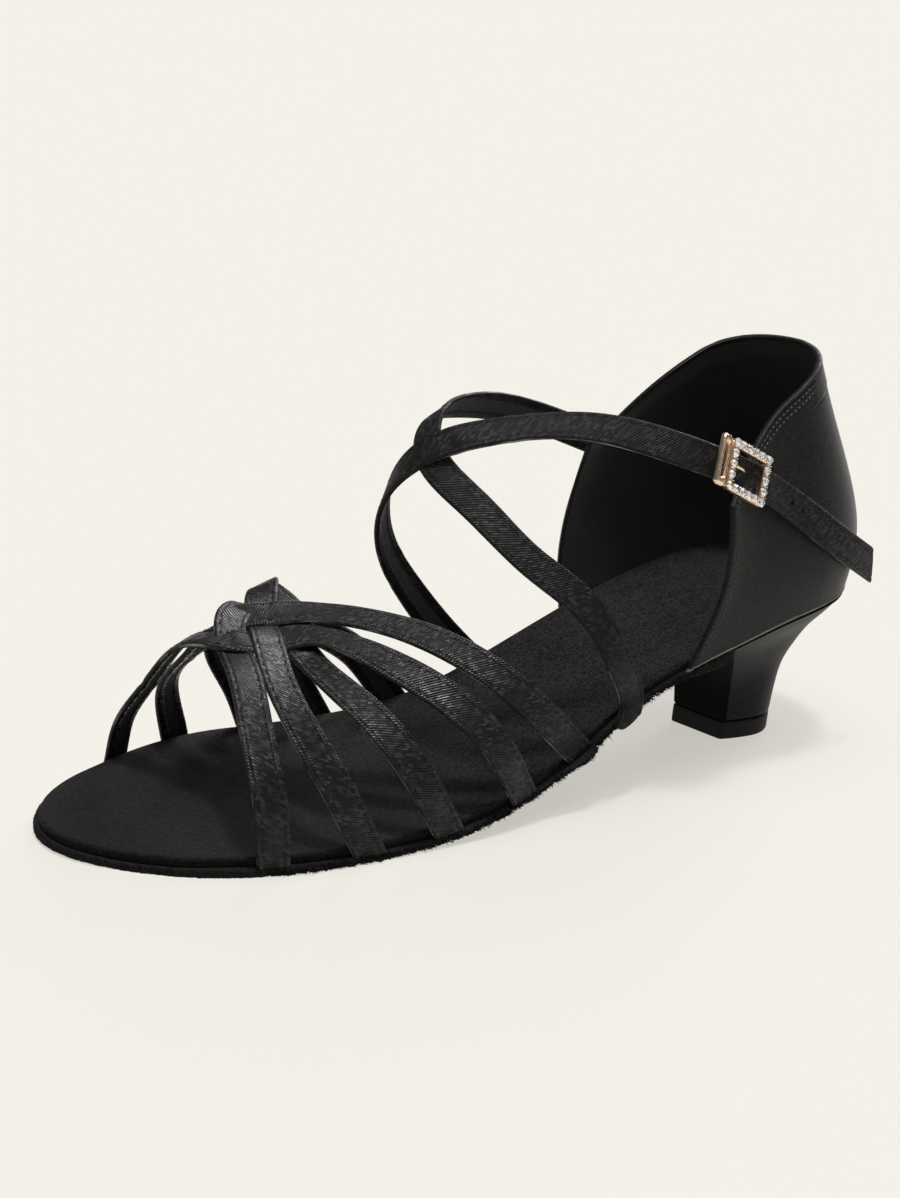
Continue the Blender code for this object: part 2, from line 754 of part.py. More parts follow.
def make_vamp_straps(satin, cutters):
    """Five straps joined into one woven piece over the ball."""
    woven = None
    for name, rows in VAMP.items():
        piece = strap("vamp_straps" if woven is None else f"strap_guide_{name}", rows, satin)
        if woven is None:
            woven = piece
        else:
            combine(woven, piece, "UNION")
    for cutter in cutters:
        combine(woven, cutter, "DIFFERENCE")
    return woven


def make_instep_straps(satin, cutters):
    """The buckled strap and the strap that it crosses, joined over the instep."""
    buckled = strap("instep_straps", BUCKLED_STRAP, satin, INSTEP_WIDTH, TAIL_SLANT)
    combine(buckled, strap("strap_guide_crossed", CROSSED_STRAP, satin, INSTEP_WIDTH), "UNION")
    for cutter in cutters:
        combine(buckled, cutter, "DIFFERENCE")
    return buckled


def buckle_axes():
    """Middle of the buckle on the strap's outer face, and its directions: back along the strap, up, and out."""
    route, run, across, out = strap_axes(BUCKLED_STRAP)
    i = int(np.argmin(np.where(route[:, 1] < 0.0, np.abs(route[:, 0] - BUCKLE_STATION), LENGTH)))
    skew = np.radians(BUCKLE_SKEW)
    along = run[i] * np.cos(skew) - across[i] * np.sin(skew)
    above = across[i] * np.cos(skew) + run[i] * np.sin(skew)
    return route[i] + out[i] * (STRAP_THICK / 2.0 + GAP), along, above, out[i]


def plate_ring(name, centre, axes, outer, inner, thick, gold):
    """Flat ring with two rectangular outlines, from the strap's face outwards."""
    run, across, out = axes
    corners = [(-1, -1), (1, -1), (1, 1), (-1, 1)]
    points = []
    for height in (0.0, thick):
        for length, width in (outer, inner):
            points += [centre + run * (a * length / 2) + across * (b * width / 2) + out * height for a, b in corners]
    numbers = np.arange(16).reshape(4, 4)
    faces = []
    for first, second in ((0, 1), (0, 2), (1, 3), (2, 3)):
        faces += band_faces(numbers[first], numbers[second])
    return solid(name, np.array(points), faces, gold)


def make_buckle(gold, stone):
    """Oblong frame, keeper on the instep side, prong, and a ring of round stones on the frame."""
    centre, run, across, out = buckle_axes()
    axes = (run, across, out)
    window = (FRAME_LENGTH - 2.0 * FRAME_BAR, FRAME_WIDTH - 2.0 * FRAME_BAR)
    plate_ring("buckle_frame", centre, axes, (FRAME_LENGTH, FRAME_WIDTH), window, FRAME_THICK, gold)
    keeper = centre - run * (FRAME_LENGTH / 2.0 + GAP + KEEPER_LENGTH / 2.0)
    slot = (KEEPER_LENGTH - 2.0 * KEEPER_WALL, FRAME_WIDTH - 2.0 * KEEPER_WALL)
    plate_ring("buckle_keeper", keeper, axes, (KEEPER_LENGTH, FRAME_WIDTH), slot, KEEPER_THICK, gold)
    prong_faces = [(0, 1, 2, 3), (4, 5, 6, 7)] + band_faces([0, 1, 2, 3], [4, 5, 6, 7])
    start = -window[0] / 2.0 + GAP
    prong = []
    for height in (0.0, PRONG_WIDTH):
        for along, wide in ((0, -1), (1, -0.6), (1, 0.6), (0, 1)):
            point = centre + run * (start + along * PRONG_LENGTH) + across * (wide * PRONG_WIDTH / 2.0)
            prong.append(point + out * height)
    solid("buckle_prong", np.array(prong), prong_faces, gold)
    behind = np.linspace(-0.5, 0.5, STONES_ALONG) * (FRAME_LENGTH - FRAME_BAR)
    above = np.linspace(-0.5, 0.5, STONES_ACROSS) * (FRAME_WIDTH - FRAME_BAR)
    number = 0
    for i in range(STONES_ALONG):
        for j in range(STONES_ACROSS):
            if 0 < i < STONES_ALONG - 1 and 0 < j < STONES_ACROSS - 1:
                continue
            number += 1
            seat = centre + run * behind[i] + across * above[j] + out * (FRAME_THICK + GAP)
            make_stone(f"buckle_stone_{number:02d}", seat, axes, stone)


def make_stone(name, seat, axes, stone):
    """Round stone: a girdle, a sloping crown and a flat table."""
    run, across, out = axes
    angle = np.arange(STONE_SIDES) * 2.0 * np.pi / STONE_SIDES
    ring = np.cos(angle)[:, None] * run + np.sin(angle)[:, None] * across
    levels = [(1.0, 0.0), (1.0, 0.35), (0.55, 1.0)]
    points = [seat + ring * (STONE_RADIUS * wide) + out * (STONE_HEIGHT * high) for wide, high in levels]
    numbers = np.arange(STONE_SIDES * len(levels)).reshape(len(levels), STONE_SIDES)
    faces = [numbers[0], numbers[-1]]
    for lower, upper in zip(numbers[:-1], numbers[1:]):
        faces += band_faces(lower, upper)
    return solid(name, np.concatenate(points), faces, stone, smooth_angle=0.2)


def main():
    """Builds every piece of the shoe."""
    for item in list(bpy.data.objects):
        bpy.data.objects.remove(item)
    satin = finish_material("black_satin", BLACK_SATIN, 0.45)
    suede = finish_material("black_suede", BLACK_SUEDE, 0.95)
    rubber = finish_material("black_rubber", BLACK_RUBBER, 0.7)
    gold = finish_material("rose_gold", ROSE_GOLD, 0.25, 1.0)
    stone = finish_material("clear_stone", CLEAR_STONE, 0.05)
    make_outsole(suede)
    make_insole(suede)
    make_heel_block(satin)
    make_heel_tip(rubber)
    make_counter(satin)
    cutters = sole_cutters(suede)
    make_vamp_straps(satin, cutters)
    make_instep_straps(satin, cutters)
    make_buckle(gold, stone)


main()
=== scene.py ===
"""Looks of the left dance sandal: satin straps, counter and heel, suede sole and sock, jewelled buckle.

Sizes are millimetres on the last, as in the part: the station runs forward from the back of the heel,
the across value is negative on the outer side, and the height is measured from the floor. Each new
piece is a grid of points worked out as whole arrays, and placed in metres with the toe towards -X.
"""

from collections import namedtuple

import bmesh
import bpy
import numpy as np
from mathutils import Matrix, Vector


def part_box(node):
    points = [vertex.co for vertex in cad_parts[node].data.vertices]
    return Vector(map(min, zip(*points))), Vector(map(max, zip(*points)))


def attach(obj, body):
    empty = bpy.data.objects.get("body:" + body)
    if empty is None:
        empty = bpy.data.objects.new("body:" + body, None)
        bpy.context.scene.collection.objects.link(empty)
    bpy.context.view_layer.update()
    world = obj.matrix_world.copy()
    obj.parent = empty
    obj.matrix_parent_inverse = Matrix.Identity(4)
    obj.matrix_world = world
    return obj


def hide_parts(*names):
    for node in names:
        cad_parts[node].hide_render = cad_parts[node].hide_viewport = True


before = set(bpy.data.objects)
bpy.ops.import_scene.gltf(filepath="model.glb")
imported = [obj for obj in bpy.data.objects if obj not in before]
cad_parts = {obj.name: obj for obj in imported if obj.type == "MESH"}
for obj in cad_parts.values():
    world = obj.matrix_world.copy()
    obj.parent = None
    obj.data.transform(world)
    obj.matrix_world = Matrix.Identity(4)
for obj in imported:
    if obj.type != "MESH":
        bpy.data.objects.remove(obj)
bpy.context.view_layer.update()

MM = 0.001
GAP = 0.3                 # clearance between neighbouring pieces
WELD = 0.001              # points nearer than this are one point
TINY = 1e-12

# Place of the heel back and of the heel's centre line in the frame
HEEL_X = 117.5
AXIS_Y = -3.6

# Sole
LENGTH = 236.3
INSOLE_THICK = 2.2
INSOLE_INSET = 2.0        # the insole's edge lies this far inside the sole's outline
TOE_INSET = 1.2           # and less far round the toe
TOE_START = 204.0
TOE_RUN = 14.0
INSOLE_ROUND = 0.7
INSOLE_ROWS = 240
INSOLE_ACROSS = 44
INSOLE_CORNER = 8         # points round its upper corner
FOREFOOT_TOP = 4.4
BREAST = 54.0
OUTSOLE_ROWS = 900
OUTSOLE_ACROSS = 18
OUTSOLE_LEVELS = 6        # points up its trimmed edge
LIP_THICK = 2.4           # the outsole thickens where it turns down on to the breast
LIP_RUN = 12.0

# Trimmed edge of the outsole
RAGGED = 0.22             # its unevenness
WORN_RAGGED = 0.50        # more of it along the outer side between the straps
WORN_FROM = 60.0
WORN_TO = 200.0
WORN_EASE = 12.0
TRIM_WAVES = 22           # waves in the unevenness, each shorter than the one before
TRIM_FIRST = 60.0
TRIM_RATIO = 1.19
TRIM_OWN = 0.55           # part of the unevenness that each level of the edge has for itself
TRIM_SHARED = 0.6         # part that all levels have in common
TRIM_SINK = 0.8           # the knife cuts in more than it leaves standing
TRIM_SWELL = 0.1          # the edge is a little rounded
TRIM_SEED = 31
LEVEL_SEED = 11

# Loose fibres along that edge
FIBRES = 7000
FIBRE_SEED = 5
FIBRE_LENGTH = 0.38
FIBRE_RADIUS = 0.13
FIBRE_TAPER = np.array([1.0, 0.75, 0.12])
FIBRE_SIDES = 3
FIBRE_OUTER = 0.62        # share of the fibres on the outer side
FIBRE_BEHIND = 0.75       # share of them behind the toe
FIBRE_TOE = 196.0
FIBRE_SUNK = 0.25         # their roots are inside the edge
FIBRE_SUNK_MORE = 0.1
FIBRE_LEAN = (0.55, 0.55, 0.45)
FIBRE_DROOP = (0.0, 0.0, -0.15)
FIBRE_CURL = 0.35

# Heel foot and tip
TIP_FRONT = 38.0
TIP_BACK = 14.5
TIP_WIDEST = 27.0
TIP_HALF = 9.2
TIP_FRONT_HALF = 7.9
TIP_SKEW = 0.26           # the inner side of the foot stands further forward
TIP_THICK = 5.2
TIP_SHARP = 0.9           # edges that turn by more radians than this stay sharp
HEEL_BEAD = 0.35          # bead where the covering is drawn in under the counter
HEEL_BEAD_RUN = 0.02
FOOT_TUCK = 0.5           # the covering is turned in at the foot
FOOT_TUCK_RUN = 0.02
SEAT_TUCK = 0.8           # and at the seat
SEAT_TUCK_RUN = 0.01
HEEL_ROWS = (np.linspace(0.0, 0.02, 4), np.linspace(0.04, 0.95, 36), np.linspace(0.955, 1.0, 14))
HEEL_SIDE_POINTS = 60
HEEL_FRONT_POINTS = 41
HEEL_SHADE_WRAP = 1.0           # the breast's painted shade, a near-black matt border, is carried this far round the outer front edge
NO_BORDER = -9.0          # the counter's satin has no border of painted shade

# Counter
COUNTER_WALL = 1.9
WALL_HEIGHT = 62.0        # about its height and its length, which set the number of rows
WALL_LENGTH = 150.0
WALL_STEP = 1.1
FRONT_HEIGHT = 42.0       # about the wall's height at the front edges
BACK_GAIN = 24.0          # and how much more it is at the back
RIM_WIDTH = 1.1
RIM_STEP = 0.22
RIM_GROOVE = 0.22         # groove behind the roll
RIM_GROOVE_AT = 0.2
RIM_GROOVE_HALF = 0.3
RIM_FINE = 1.3            # rows are close together this far past the roll
RIM_POINTS = 19
INNER_ROLL = 0.7          # the roll stands out less on the inside
LIP_HIGHLIGHT = 1.0             # pale band along the lower edge: painted highlight
LIP_BEAD = 0.16           # thickness of the lower edge's bead over the wall
LIP_BEAD_AT = 0.7
LIP_BEAD_HALF = 0.35
LIP_ROUND = 0.55          # rounding of the wall's free edges
LIP_POINTS = 7
LIP_DROP = 0.28           # the lower edge reaches down over the joint with the heel
LIP_DROP_SHARE = 0.06
LEVEL_SHARE = 0.05        # the lower edge faces straight sideways
SKIVED = 0.1              # the wall is pared down on its inside towards the rim
SKIVE_RUN = 7.0
TAB_SHARE = 0.885         # seam of the small tab at the back of the counter
TAB_FINE = np.linspace(-0.03, 0.03, 25)
TAB_REACH = 0.45
TAB_FADE = 0.02
TAB_STEP = 0.22
TAB_EASE = 0.006
SEAM_DEPTH = 0.35
SEAM_HALF = 0.005

# Straps
STRAP_WIDTH = 8.3
INSTEP_WIDTH = 8.3
STRAP_THICK = 1.5
STRAP_STEP = 0.3          # step that measures a strap's route
STRAP_ROW = 0.62          # distance between rows of points along a strap
STRAP_CROWN = 0.12        # the outer face falls by this share to its edges
STRAP_EDGE_POINTS = 8
STRAP_FACE_POINTS = 31
FINE_STEPS = 2400
STRAP_TUCK = 9.0          # run of a foot below the insole
SEAT_CLEAR = 0.05
FACING_FROM = 36.0        # behind this station the sides face as they do here
WEAVE_LIFT = 0.6
SEAM_INSET = 1.45         # stitch line inside the strap's edge
GROOVE = 0.1
GROOVE_HALF = 0.25
FOLD_WIDTH = 2.2          # satin folded over the edges of the lining
EDGE_HIGHLIGHT_WIDTH = 0.08          # pale band along the very edge: painted highlight
LINING_STEP = 0.2
LINING_EASE = 0.35
CREASE_SWELL = 0.4        # a crease has a low swell on both sides, of a share of its depth
CREASE_SPREAD = 2.5
WRAP_AHEAD = np.array([3.4, 1.2, 0.0])    # a wrapped foot's three points: forward, out of the edge, down
WRAP_OUT = np.array([0.2, 1.7, 0.9])
WRAP_DOWN = np.array([9.5, 3.2, 0.2])
WRAP_UNDER = 0.2          # it is seen this far below the outsole
WRAP_ROUND = 3.2          # and less towards the heel, where it turns under
TAIL_SLANT = -4.5
TAIL_RUN = 14.0
TAIL_HOLES = (46.0, 41.0)   # distances of the punched holes from the loose end
HOLE_RADIUS = 0.75
HOLE_DEPTH = 0.55
HOLE_EASE = 0.3
HOLE_RIM = 0.12           # the cloth stands up round a hole
HOLE_RIM_AT = 0.15
HOLE_RIM_HALF = 0.2
HOLE_NEAR = 1.5           # rows are closer within so many radii of a hole
HOLE_ROWS = 3.0           # by so many rows more for each

# Stitches
STITCH_PITCH = 2.5
STITCH_RADIUS = 0.15
STITCH_SHARE = 0.7        # a stitch's length in its pitch
STITCH_PROUD = 0.03
STITCH_DIP = 0.9          # its ends lie so many radii lower
STITCH_RINGS = 6
STITCH_SIDES = 6
COUNTER_STITCH = 0.22
COUNTER_PITCH = 1.5
COUNTER_PROUD = 0.05
COUNTER_SEAMS = (1.7, 3.1)   # stitch lines inside the counter's edge
COUNTER_SEAM_END = 2.0
SEAM_FOOT = 0.05          # share up the wall where those lines begin
SEAM_SIDE_POINTS = 60
SEAM_TOP_POINTS = 240

# Knot over the ball
KNOT_CENTRE = (178.3, 5.5, 46.8)
KNOT_FORWARD = (0.985, 0.17, 0.0)
KNOT_INWARD = (-0.37, 0.86, 0.35)
KNOT_FORWARD_PITCH = 8.5
KNOT_INWARD_PITCH = 8.8
KNOT_REACH = 17.0

# Buckle
BUCKLE_STATION = 63.2
BUCKLE_SKEW = 3.5         # the frame sits a little askew on its strap, in degrees
METAL_SHARP = 0.8
PLATE_POINTS = 13         # points across the top of a bar
FRAME_LENGTH = 16.0       # along the strap
FRAME_WIDTH = 13.3
FRAME_BAR = 2.1
FRAME_THICK = 1.5
FRAME_CROWN = 0.3
FRAME_CORNER = 1.2
WINDOW_CORNER = 0.3
KEEPER_LENGTH = 3.6
KEEPER_SLOT = 1.5
KEEPER_END = 2.3
KEEPER_THICK = 1.3
KEEPER_CROWN = 0.7
KEEPER_CORNER = 1.1
SLOT_CORNER = 0.45
PRONG_LENGTH = 6.0
PRONG_RADIUS = 0.55
PRONG_TAPER = 0.5
PRONG_OVERLAP = 0.2       # its root lies on the bar
PRONG_HEIGHT = 0.75
PRONG_ARCH = 0.55
PRONG_DIP = 0.55
PRONG_RINGS = 17
PRONG_SIDES = 12
STONES_ALONG = 6
STONES_ACROSS = 5
STONE_RADIUS = 1.16
STONE_HEIGHT = 0.95
STONE_SUNK = 0.1
STONE_SIDES = 16
STONE_SHARP = 0.12
CLAW_RADIUS = 0.17
CLAW_TALL = 1.6
CLAW_ASIDE = 0.72         # claws stand in pairs, this far from the line between two stones
CLAW_RISE = 0.42
CLAW_SIDES = 8
CLAW_RINGS = 6

# Camera, with the photo's frame of 900 by 1198 pixels
IMAGE_HEIGHT = 1198
FOCAL_PIXELS = 3020.1
SENSOR = 36.0
CLIP_START = 0.01         # metres
CAMERA_TURN = -38.008
CAMERA_RISE = 20.005
CAMERA_ROLL = 6.483
CAMERA_DISTANCE = 752.9
CAMERA_TARGET = (-9.472, -3.6, 49.659)

# Studio, in metres: a pale floor that glows a little, so that its shadows stay light
FLOOR_REACH = 8.0
FLOOR_COLOUR = (0.220, 0.213, 0.199)
FLOOR_GLOW = (0.54, 0.523, 0.485)
BACKDROP_RADIUS = 7.0
BACKDROP_HEIGHT = 6.0
BACKDROP_SIDES = 96
BACKDROP_GLOW = (0.905, 0.877, 0.812)
WORLD_COLOUR = (1.0, 0.99, 0.97, 1.0)
WORLD_STRENGTH = 0.13

# Far lights: azimuth about the shoe, height and width of the disc in degrees
Light = namedtuple("Light", "name azimuth rise strength spread")
LIGHTS = [
    Light("overhead", -35.0, 85.0, 1.9, 7.0),
    Light("broad", -35.0, 85.0, 2.15, 50.0),
    Light("rim", 120.0, 26.0, 1.85, 30.0),
]

# Rings of the heel's top piece, from the floor up
Ring = namedtuple("Ring", "inset height")
TIP_RINGS = [
    Ring(0.5, 0.0),
    Ring(0.18, 0.12),
    Ring(0.04, 0.35),
    Ring(0.0, 0.7),
    Ring(0.0, TIP_THICK - 0.6),
    Ring(0.05, TIP_THICK - 0.25),
    Ring(0.2, TIP_THICK - 0.06),
    Ring(0.35, TIP_THICK),
]

# Rings of a stone, from its base up: shares of its radius and height, and the corners left on the circle
Cut = namedtuple("Cut", "wide high corners")
STONE_CUTS = [
    Cut(0.0, 0.0, "all"),
    Cut(0.9, 0.0, "all"),
    Cut(1.0, 0.35, "all"),
    Cut(0.8, 0.68, "odd"),
    Cut(0.52, 1.0, "even"),
    Cut(0.0, 1.0, "all"),
]

Outline = namedtuple("Outline", "station lateral medial")
OUTLINE = [
    Outline(0.0, 0.0, 0.0),
    Outline(4.0, 13.2, 13.3),
    Outline(12.0, 20.5, 20.7),
    Outline(22.0, 23.9, 24.2),
    Outline(36.0, 25.6, 26.0),
    Outline(58.0, 26.2, 25.8),
    Outline(76.0, 25.6, 25.8),
    Outline(90.0, 26.4, 27.2),
    Outline(104.0, 29.2, 28.9),
    Outline(118.0, 32.0, 31.5),
    Outline(133.0, 33.9, 35.6),
    Outline(150.0, 34.6, 40.2),
    Outline(170.0, 34.6, 43.0),
    Outline(186.0, 33.4, 41.2),
    Outline(202.0, 29.2, 36.3),
    Outline(215.0, 23.0, 30.2),
    Outline(226.0, 14.3, 23.0),
    Outline(233.0, 6.5, 14.6),
    Outline(LENGTH, -4.5, 4.5),
]

# Where the feet of two straps push the outsole's trimmed edge out, on the outer side
Bulge = namedtuple("Bulge", "station growth half")
BULGES = [
    Bulge(87.0, 1.2, 5.0),
    Bulge(102.0, 2.6, 6.0),
]

Level = namedtuple("Level", "station height outsole")
LEVELS = [
    Level(0.0, 46.0, 1.2),
    Level(12.0, 45.4, 1.2),
    Level(22.0, 44.5, 1.2),
    Level(34.0, 42.7, 1.2),
    Level(46.0, 39.9, 1.2),
    Level(58.0, 36.6, 1.2),
    Level(68.0, 33.2, 1.2),
    Level(76.0, 29.9, 1.2),
    Level(84.0, 26.1, 1.2),
    Level(94.0, 21.1, 1.2),
    Level(106.0, 15.5, 1.2),
    Level(118.0, 10.9, 1.3),
    Level(131.0, 7.7, 1.6),
    Level(144.0, 5.6, 1.9),
    Level(158.0, 4.5, 1.9),
    Level(180.0, 4.1, 1.9),
    Level(205.0, 4.1, 1.9),
    Level(222.0, 4.3, 1.9),
    Level(LENGTH, 5.0, 1.9),
]

Crown = namedtuple("Crown", "station rise")
CROWN = [
    Crown(0.0, 64.0),
    Crown(60.0, 68.0),
    Crown(80.0, 77.0),
    Crown(100.0, 84.0),
    Crown(118.0, 82.0),
    Crown(131.0, 75.0),
    Crown(145.0, 63.0),
    Crown(160.0, 51.0),
    Crown(185.0, 46.0),
    Crown(LENGTH, 30.0),
]
CROWN_POWER = 3.0

Flare = namedtuple("Flare", "share spread")
FLARE = [
    Flare(0.0, 0.0),
    Flare(0.25, 0.045),
    Flare(0.42, 0.125),
    Flare(0.58, 0.295),
    Flare(0.755, 0.545),
    Flare(0.886, 0.805),
    Flare(1.0, 1.0),
]

Shell = namedtuple("Shell", "share back radius lateral medial lateral_front medial_front")
SHELL = [
    Shell(0.00, 0.0, 24.0, 26.3, 25.5, 67.5, 70.0),
    Shell(0.22, -1.2, 25.2, 27.5, 27.0, 64.0, 71.0),
    Shell(0.45, 3.2, 24.6, 28.2, 28.1, 61.2, 70.5),
    Shell(0.70, 11.0, 22.6, 28.2, 28.3, 60.4, 68.5),
    Shell(0.85, 15.6, 20.8, 28.0, 28.1, 60.7, 66.6),
    Shell(1.00, 19.9, 19.0, 27.6, 27.6, 61.5, 64.5),
]

Rim = namedtuple("Rim", "share lateral medial")
RIM = [
    Rim(0.0, 76.0, 76.0),
    Rim(0.12, 84.5, 85.8),
    Rim(0.27, 93.5, 95.0),
    Rim(0.50, 102.6, 103.0),
    Rim(0.75, 108.0, 107.3),
    Rim(1.0, 109.0, 109.0),
]

# Straps from their first end to their second, as in the part
Foot = namedtuple("Foot", "station side")
Wrap = namedtuple("Wrap", "station side")     # a foot that is laid round the edge of the outsole
Bend = namedtuple("Bend", "station across height turn", defaults=(0.0,))
Crossing = namedtuple("Crossing", "column row layer")
VAMP = {
    "first": [
        Foot(194.5, -1),
        Bend(196.7, -30.2, 20.0),
        Bend(195.2, -20.0, 33.0),
        Bend(191.0, -6.0, 42.0),
        Crossing(1, -0.5, -1),
        Crossing(0.9, 0.5, 1),
        Bend(174.0, 18.0, 46.6, 12.0),
        Bend(174.5, 29.0, 37.0),
        Bend(164.5, 36.3, 19.0),
        Foot(155.5, 1),
    ],
    "second": [
        Foot(170.0, -1),
        Bend(177.4, -32.6, 17.4),
        Bend(183.3, -24.0, 31.0),
        Bend(183.7, -10.8, 40.5),
        Crossing(0, -0.5, 1),
        Crossing(0, 0.5, -1),
        Bend(170.3, 19.3, 51.4, 20.0),
        Bend(162.5, 29.3, 41.0),
        Bend(151.0, 35.2, 23.5),
        Foot(139.0, 1),
    ],
    "third": [
        Foot(146.5, -1),
        Bend(154.8, -33.8, 17.8),
        Bend(163.2, -26.2, 31.0),
        Bend(169.3, -12.9, 38.5),
        Crossing(-1, -0.5, -1),
        Crossing(-1, 0.5, -1),
        Bend(169.0, 21.0, 49.6, 18.0),
        Bend(152.0, 25.8, 37.3),
        Bend(131.5, 29.8, 23.8),
        Foot(119.5, 1),
    ],
    "fourth": [
        Foot(122.5, -1),
        Bend(131.6, -33.6, 22.0),
        Bend(142.9, -28.1, 34.4, -8.0),
        Bend(155.4, -15.0, 42.4, -15.0),
        Crossing(-1, -0.5, 1),
        Crossing(0, -0.5, -1),
        Crossing(1, -0.5, 1),
        Bend(193.2, 12.8, 43.2),
        Bend(196.1, 26.3, 27.4),
        Bend(198.5, 33.4, 14.5),
        Foot(198.2, 1),
    ],
    "fifth": [
        Foot(103.5, -1),
        Bend(116.3, -30.5, 27.6),
        Bend(129.3, -25.7, 38.9, -12.0),
        Bend(141.1, -14.3, 45.8, -26.0),
        Bend(151.7, -3.4, 48.3, -16.0),
        Crossing(-1, 0.5, 1),
        Crossing(0, 0.5, 1),
        Crossing(1, 0.5, -1),
        Bend(186.0, 20.0, 38.5),
        Bend(184.7, 36.4, 21.0, 7.0),
        Foot(178.4, 1),
    ],
}
INSTEP = {
    "buckled": [
        Foot(97.5, 1),
        Bend(106.2, 26.8, 27.2),
        Bend(120.6, 26.7, 42.8, -20.0),
        Bend(131.6, 24.3, 58.8, -32.0),
        Bend(135.0, 19.2, 73.6, -20.0),
        Bend(130.9, 8.4, 87.0, -18.0),
        Bend(118.0, -1.5, 93.4, -14.0),
        Bend(97.9, -15.4, 96.4, -5.0),
        Bend(81.8, -28.6, 93.2, 4.0),
        Bend(BUCKLE_STATION, -30.5, 86.1, 14.0),
        Bend(41.3, -27.9, 74.5, 6.0),
        Bend(22.5, -27.0, 62.4),
        Bend(3.8, -22.0, 51.6),
    ],
    "crossed": [
        Wrap(86.4, -1),
        Bend(93.2, -29.6, 37.2),
        Bend(104.0, -27.0, 53.3),
        Bend(117.0, -18.5, 64.5),
        Bend(127.0, -5.1, 76.4),
        Bend(131.1, 9.9, 86.0),
        Bend(125.5, 17.0, 91.5),
        Bend(112.0, 22.2, 92.2),
        Bend(94.7, 26.7, 88.6),
        Bend(77.6, 28.9, 82.6),
        Bend(60.0, 29.5, 75.5),
    ],
}

# Creases of the straps: share of the length, slant of the crease, its depth and its half width
Crease = namedtuple("Crease", "strap share slant depth half")
CREASES = [
    Crease("first", 0.44, 0.3, 0.22, 1.6),
    Crease("first", 0.66, -0.2, 0.30, 1.8),
    Crease("second", 0.43, 0.2, 0.22, 1.5),
    Crease("second", 0.62, 0.3, 0.34, 1.7),
    Crease("third", 0.41, -0.3, 0.24, 1.6),
    Crease("third", 0.60, 0.2, 0.34, 1.8),
    Crease("fourth", 0.62, 0.2, 0.24, 1.5),
    Crease("fourth", 0.80, -0.4, 0.26, 1.4),
    Crease("fifth", 0.58, 0.3, 0.24, 1.5),
    Crease("fifth", 0.79, 0.3, 0.24, 1.4),
    Crease("buckled", 0.20, 0.5, 0.20, 1.5),
    Crease("buckled", 0.40, -0.4, 0.26, 1.8),
    Crease("buckled", 0.47, 0.3, 0.22, 1.6),
    Crease("crossed", 0.52, 0.5, 0.30, 1.5),
    Crease("crossed", 0.57, -0.4, 0.34, 1.4),
    Crease("crossed", 0.64, 0.3, 0.26, 1.6),
]


def table(rows, column):
    """One named column of a table."""
    return np.array([getattr(row, column) for row in rows], float)


def spline(knots, values, at):
    """Natural cubic spline through values at the knots, read at any places."""
    values = np.asarray(values, float)
    step = np.diff(knots)
    slope = np.diff(values, axis=0) / step.reshape(-1, *[1] * (values.ndim - 1))
    matrix = np.diag(np.concatenate([[1.0], 2.0 * (step[:-1] + step[1:]), [1.0]]))
    matrix += np.diag(np.concatenate([[0.0], step[1:]]), 1)
    matrix += np.diag(np.concatenate([step[:-1], [0.0]]), -1)
    load = np.zeros_like(values)
    load[1:-1] = 6.0 * np.diff(slope, axis=0)
    bend = np.linalg.solve(matrix, load)
    at = np.asarray(at, float)
    i = np.clip(np.searchsorted(knots, at) - 1, 0, len(step) - 1)
    shape = at.shape + (1,) * (values.ndim - 1)
    span = step[i].reshape(shape)
    late = ((at - knots[i]) / step[i]).reshape(shape)
    early = 1.0 - late
    curve = ((early ** 3 - early) * bend[i] + (late ** 3 - late) * bend[i + 1]) * span ** 2 / 6.0
    return early * values[i] + late * values[i + 1] + curve


def unit(vectors):
    """Vectors of length one."""
    vectors = np.asarray(vectors, float)
    return vectors / np.maximum(np.linalg.norm(vectors, axis=-1, keepdims=True), TINY)


def eased(value):
    """Smooth step: 3 t squared less 2 t cubed, with t held between 0 and 1."""
    share = np.clip(value, 0.0, 1.0)
    return share * share * (3.0 - 2.0 * share)


def bell(distance, half):
    """Bell curve: e to the minus square of the distance over its half width."""
    return np.exp(-(distance / half) ** 2)


def lengths(points):
    """Distance travelled along a line of points."""
    return np.concatenate([[0.0], np.cumsum(np.linalg.norm(np.diff(points, axis=0), axis=1))])


def share_of(station):
    """Angle share of a station, which crowds the rows where the outline closes at heel and toe."""
    return np.arccos(1.0 - 2.0 * np.clip(station, 0.0, LENGTH) / LENGTH) / np.pi


def half_width(share, column):
    """Half width of the sole on one side."""
    return spline(share_of(table(OUTLINE, "station")), table(OUTLINE, column), share)


def loop(place):
    """Point of the sole's edge: places 0 to 1 run up the outer side to the toe, 1 to 2 back inside."""
    place = np.mod(place, 2.0)
    outer = place <= 1.0
    share = np.where(outer, place, 2.0 - place)
    across = np.where(outer, -half_width(share, "lateral"), half_width(share, "medial"))
    return np.stack([LENGTH * (1.0 - np.cos(np.pi * share)) / 2.0, across], -1)


def edge_normal(place):
    """Direction straight out of the sole's edge."""
    step = 0.002
    run = loop(place + step) - loop(place - step)
    return unit(np.stack([run[..., 1], -run[..., 0]], -1))


def edge(place, grow=0.0):
    """Sole's edge moved straight out by a distance, or in by a negative one."""
    return loop(place) + np.asarray(grow)[..., None] * edge_normal(place)


def insole_grow(place):
    """Growth of the sole's edge that gives the insole's edge, which comes nearer to it round the toe."""
    toe = eased((loop(place)[..., 0] - TOE_START) / TOE_RUN)
    return (INSOLE_INSET - TOE_INSET) * toe - INSOLE_INSET


def place_of(station, side):
    """Place on the loop of a station on one side."""
    share = share_of(station)
    return np.where(np.asarray(side) < 0, share, 2.0 - share)


def insole_top(station):
    """Height of the insole, level where the ball lies on the floor."""
    curve = spline(table(LEVELS, "station"), table(LEVELS, "height"), np.clip(station, 0.0, LENGTH))
    return np.maximum(curve, FOREFOOT_TOP)


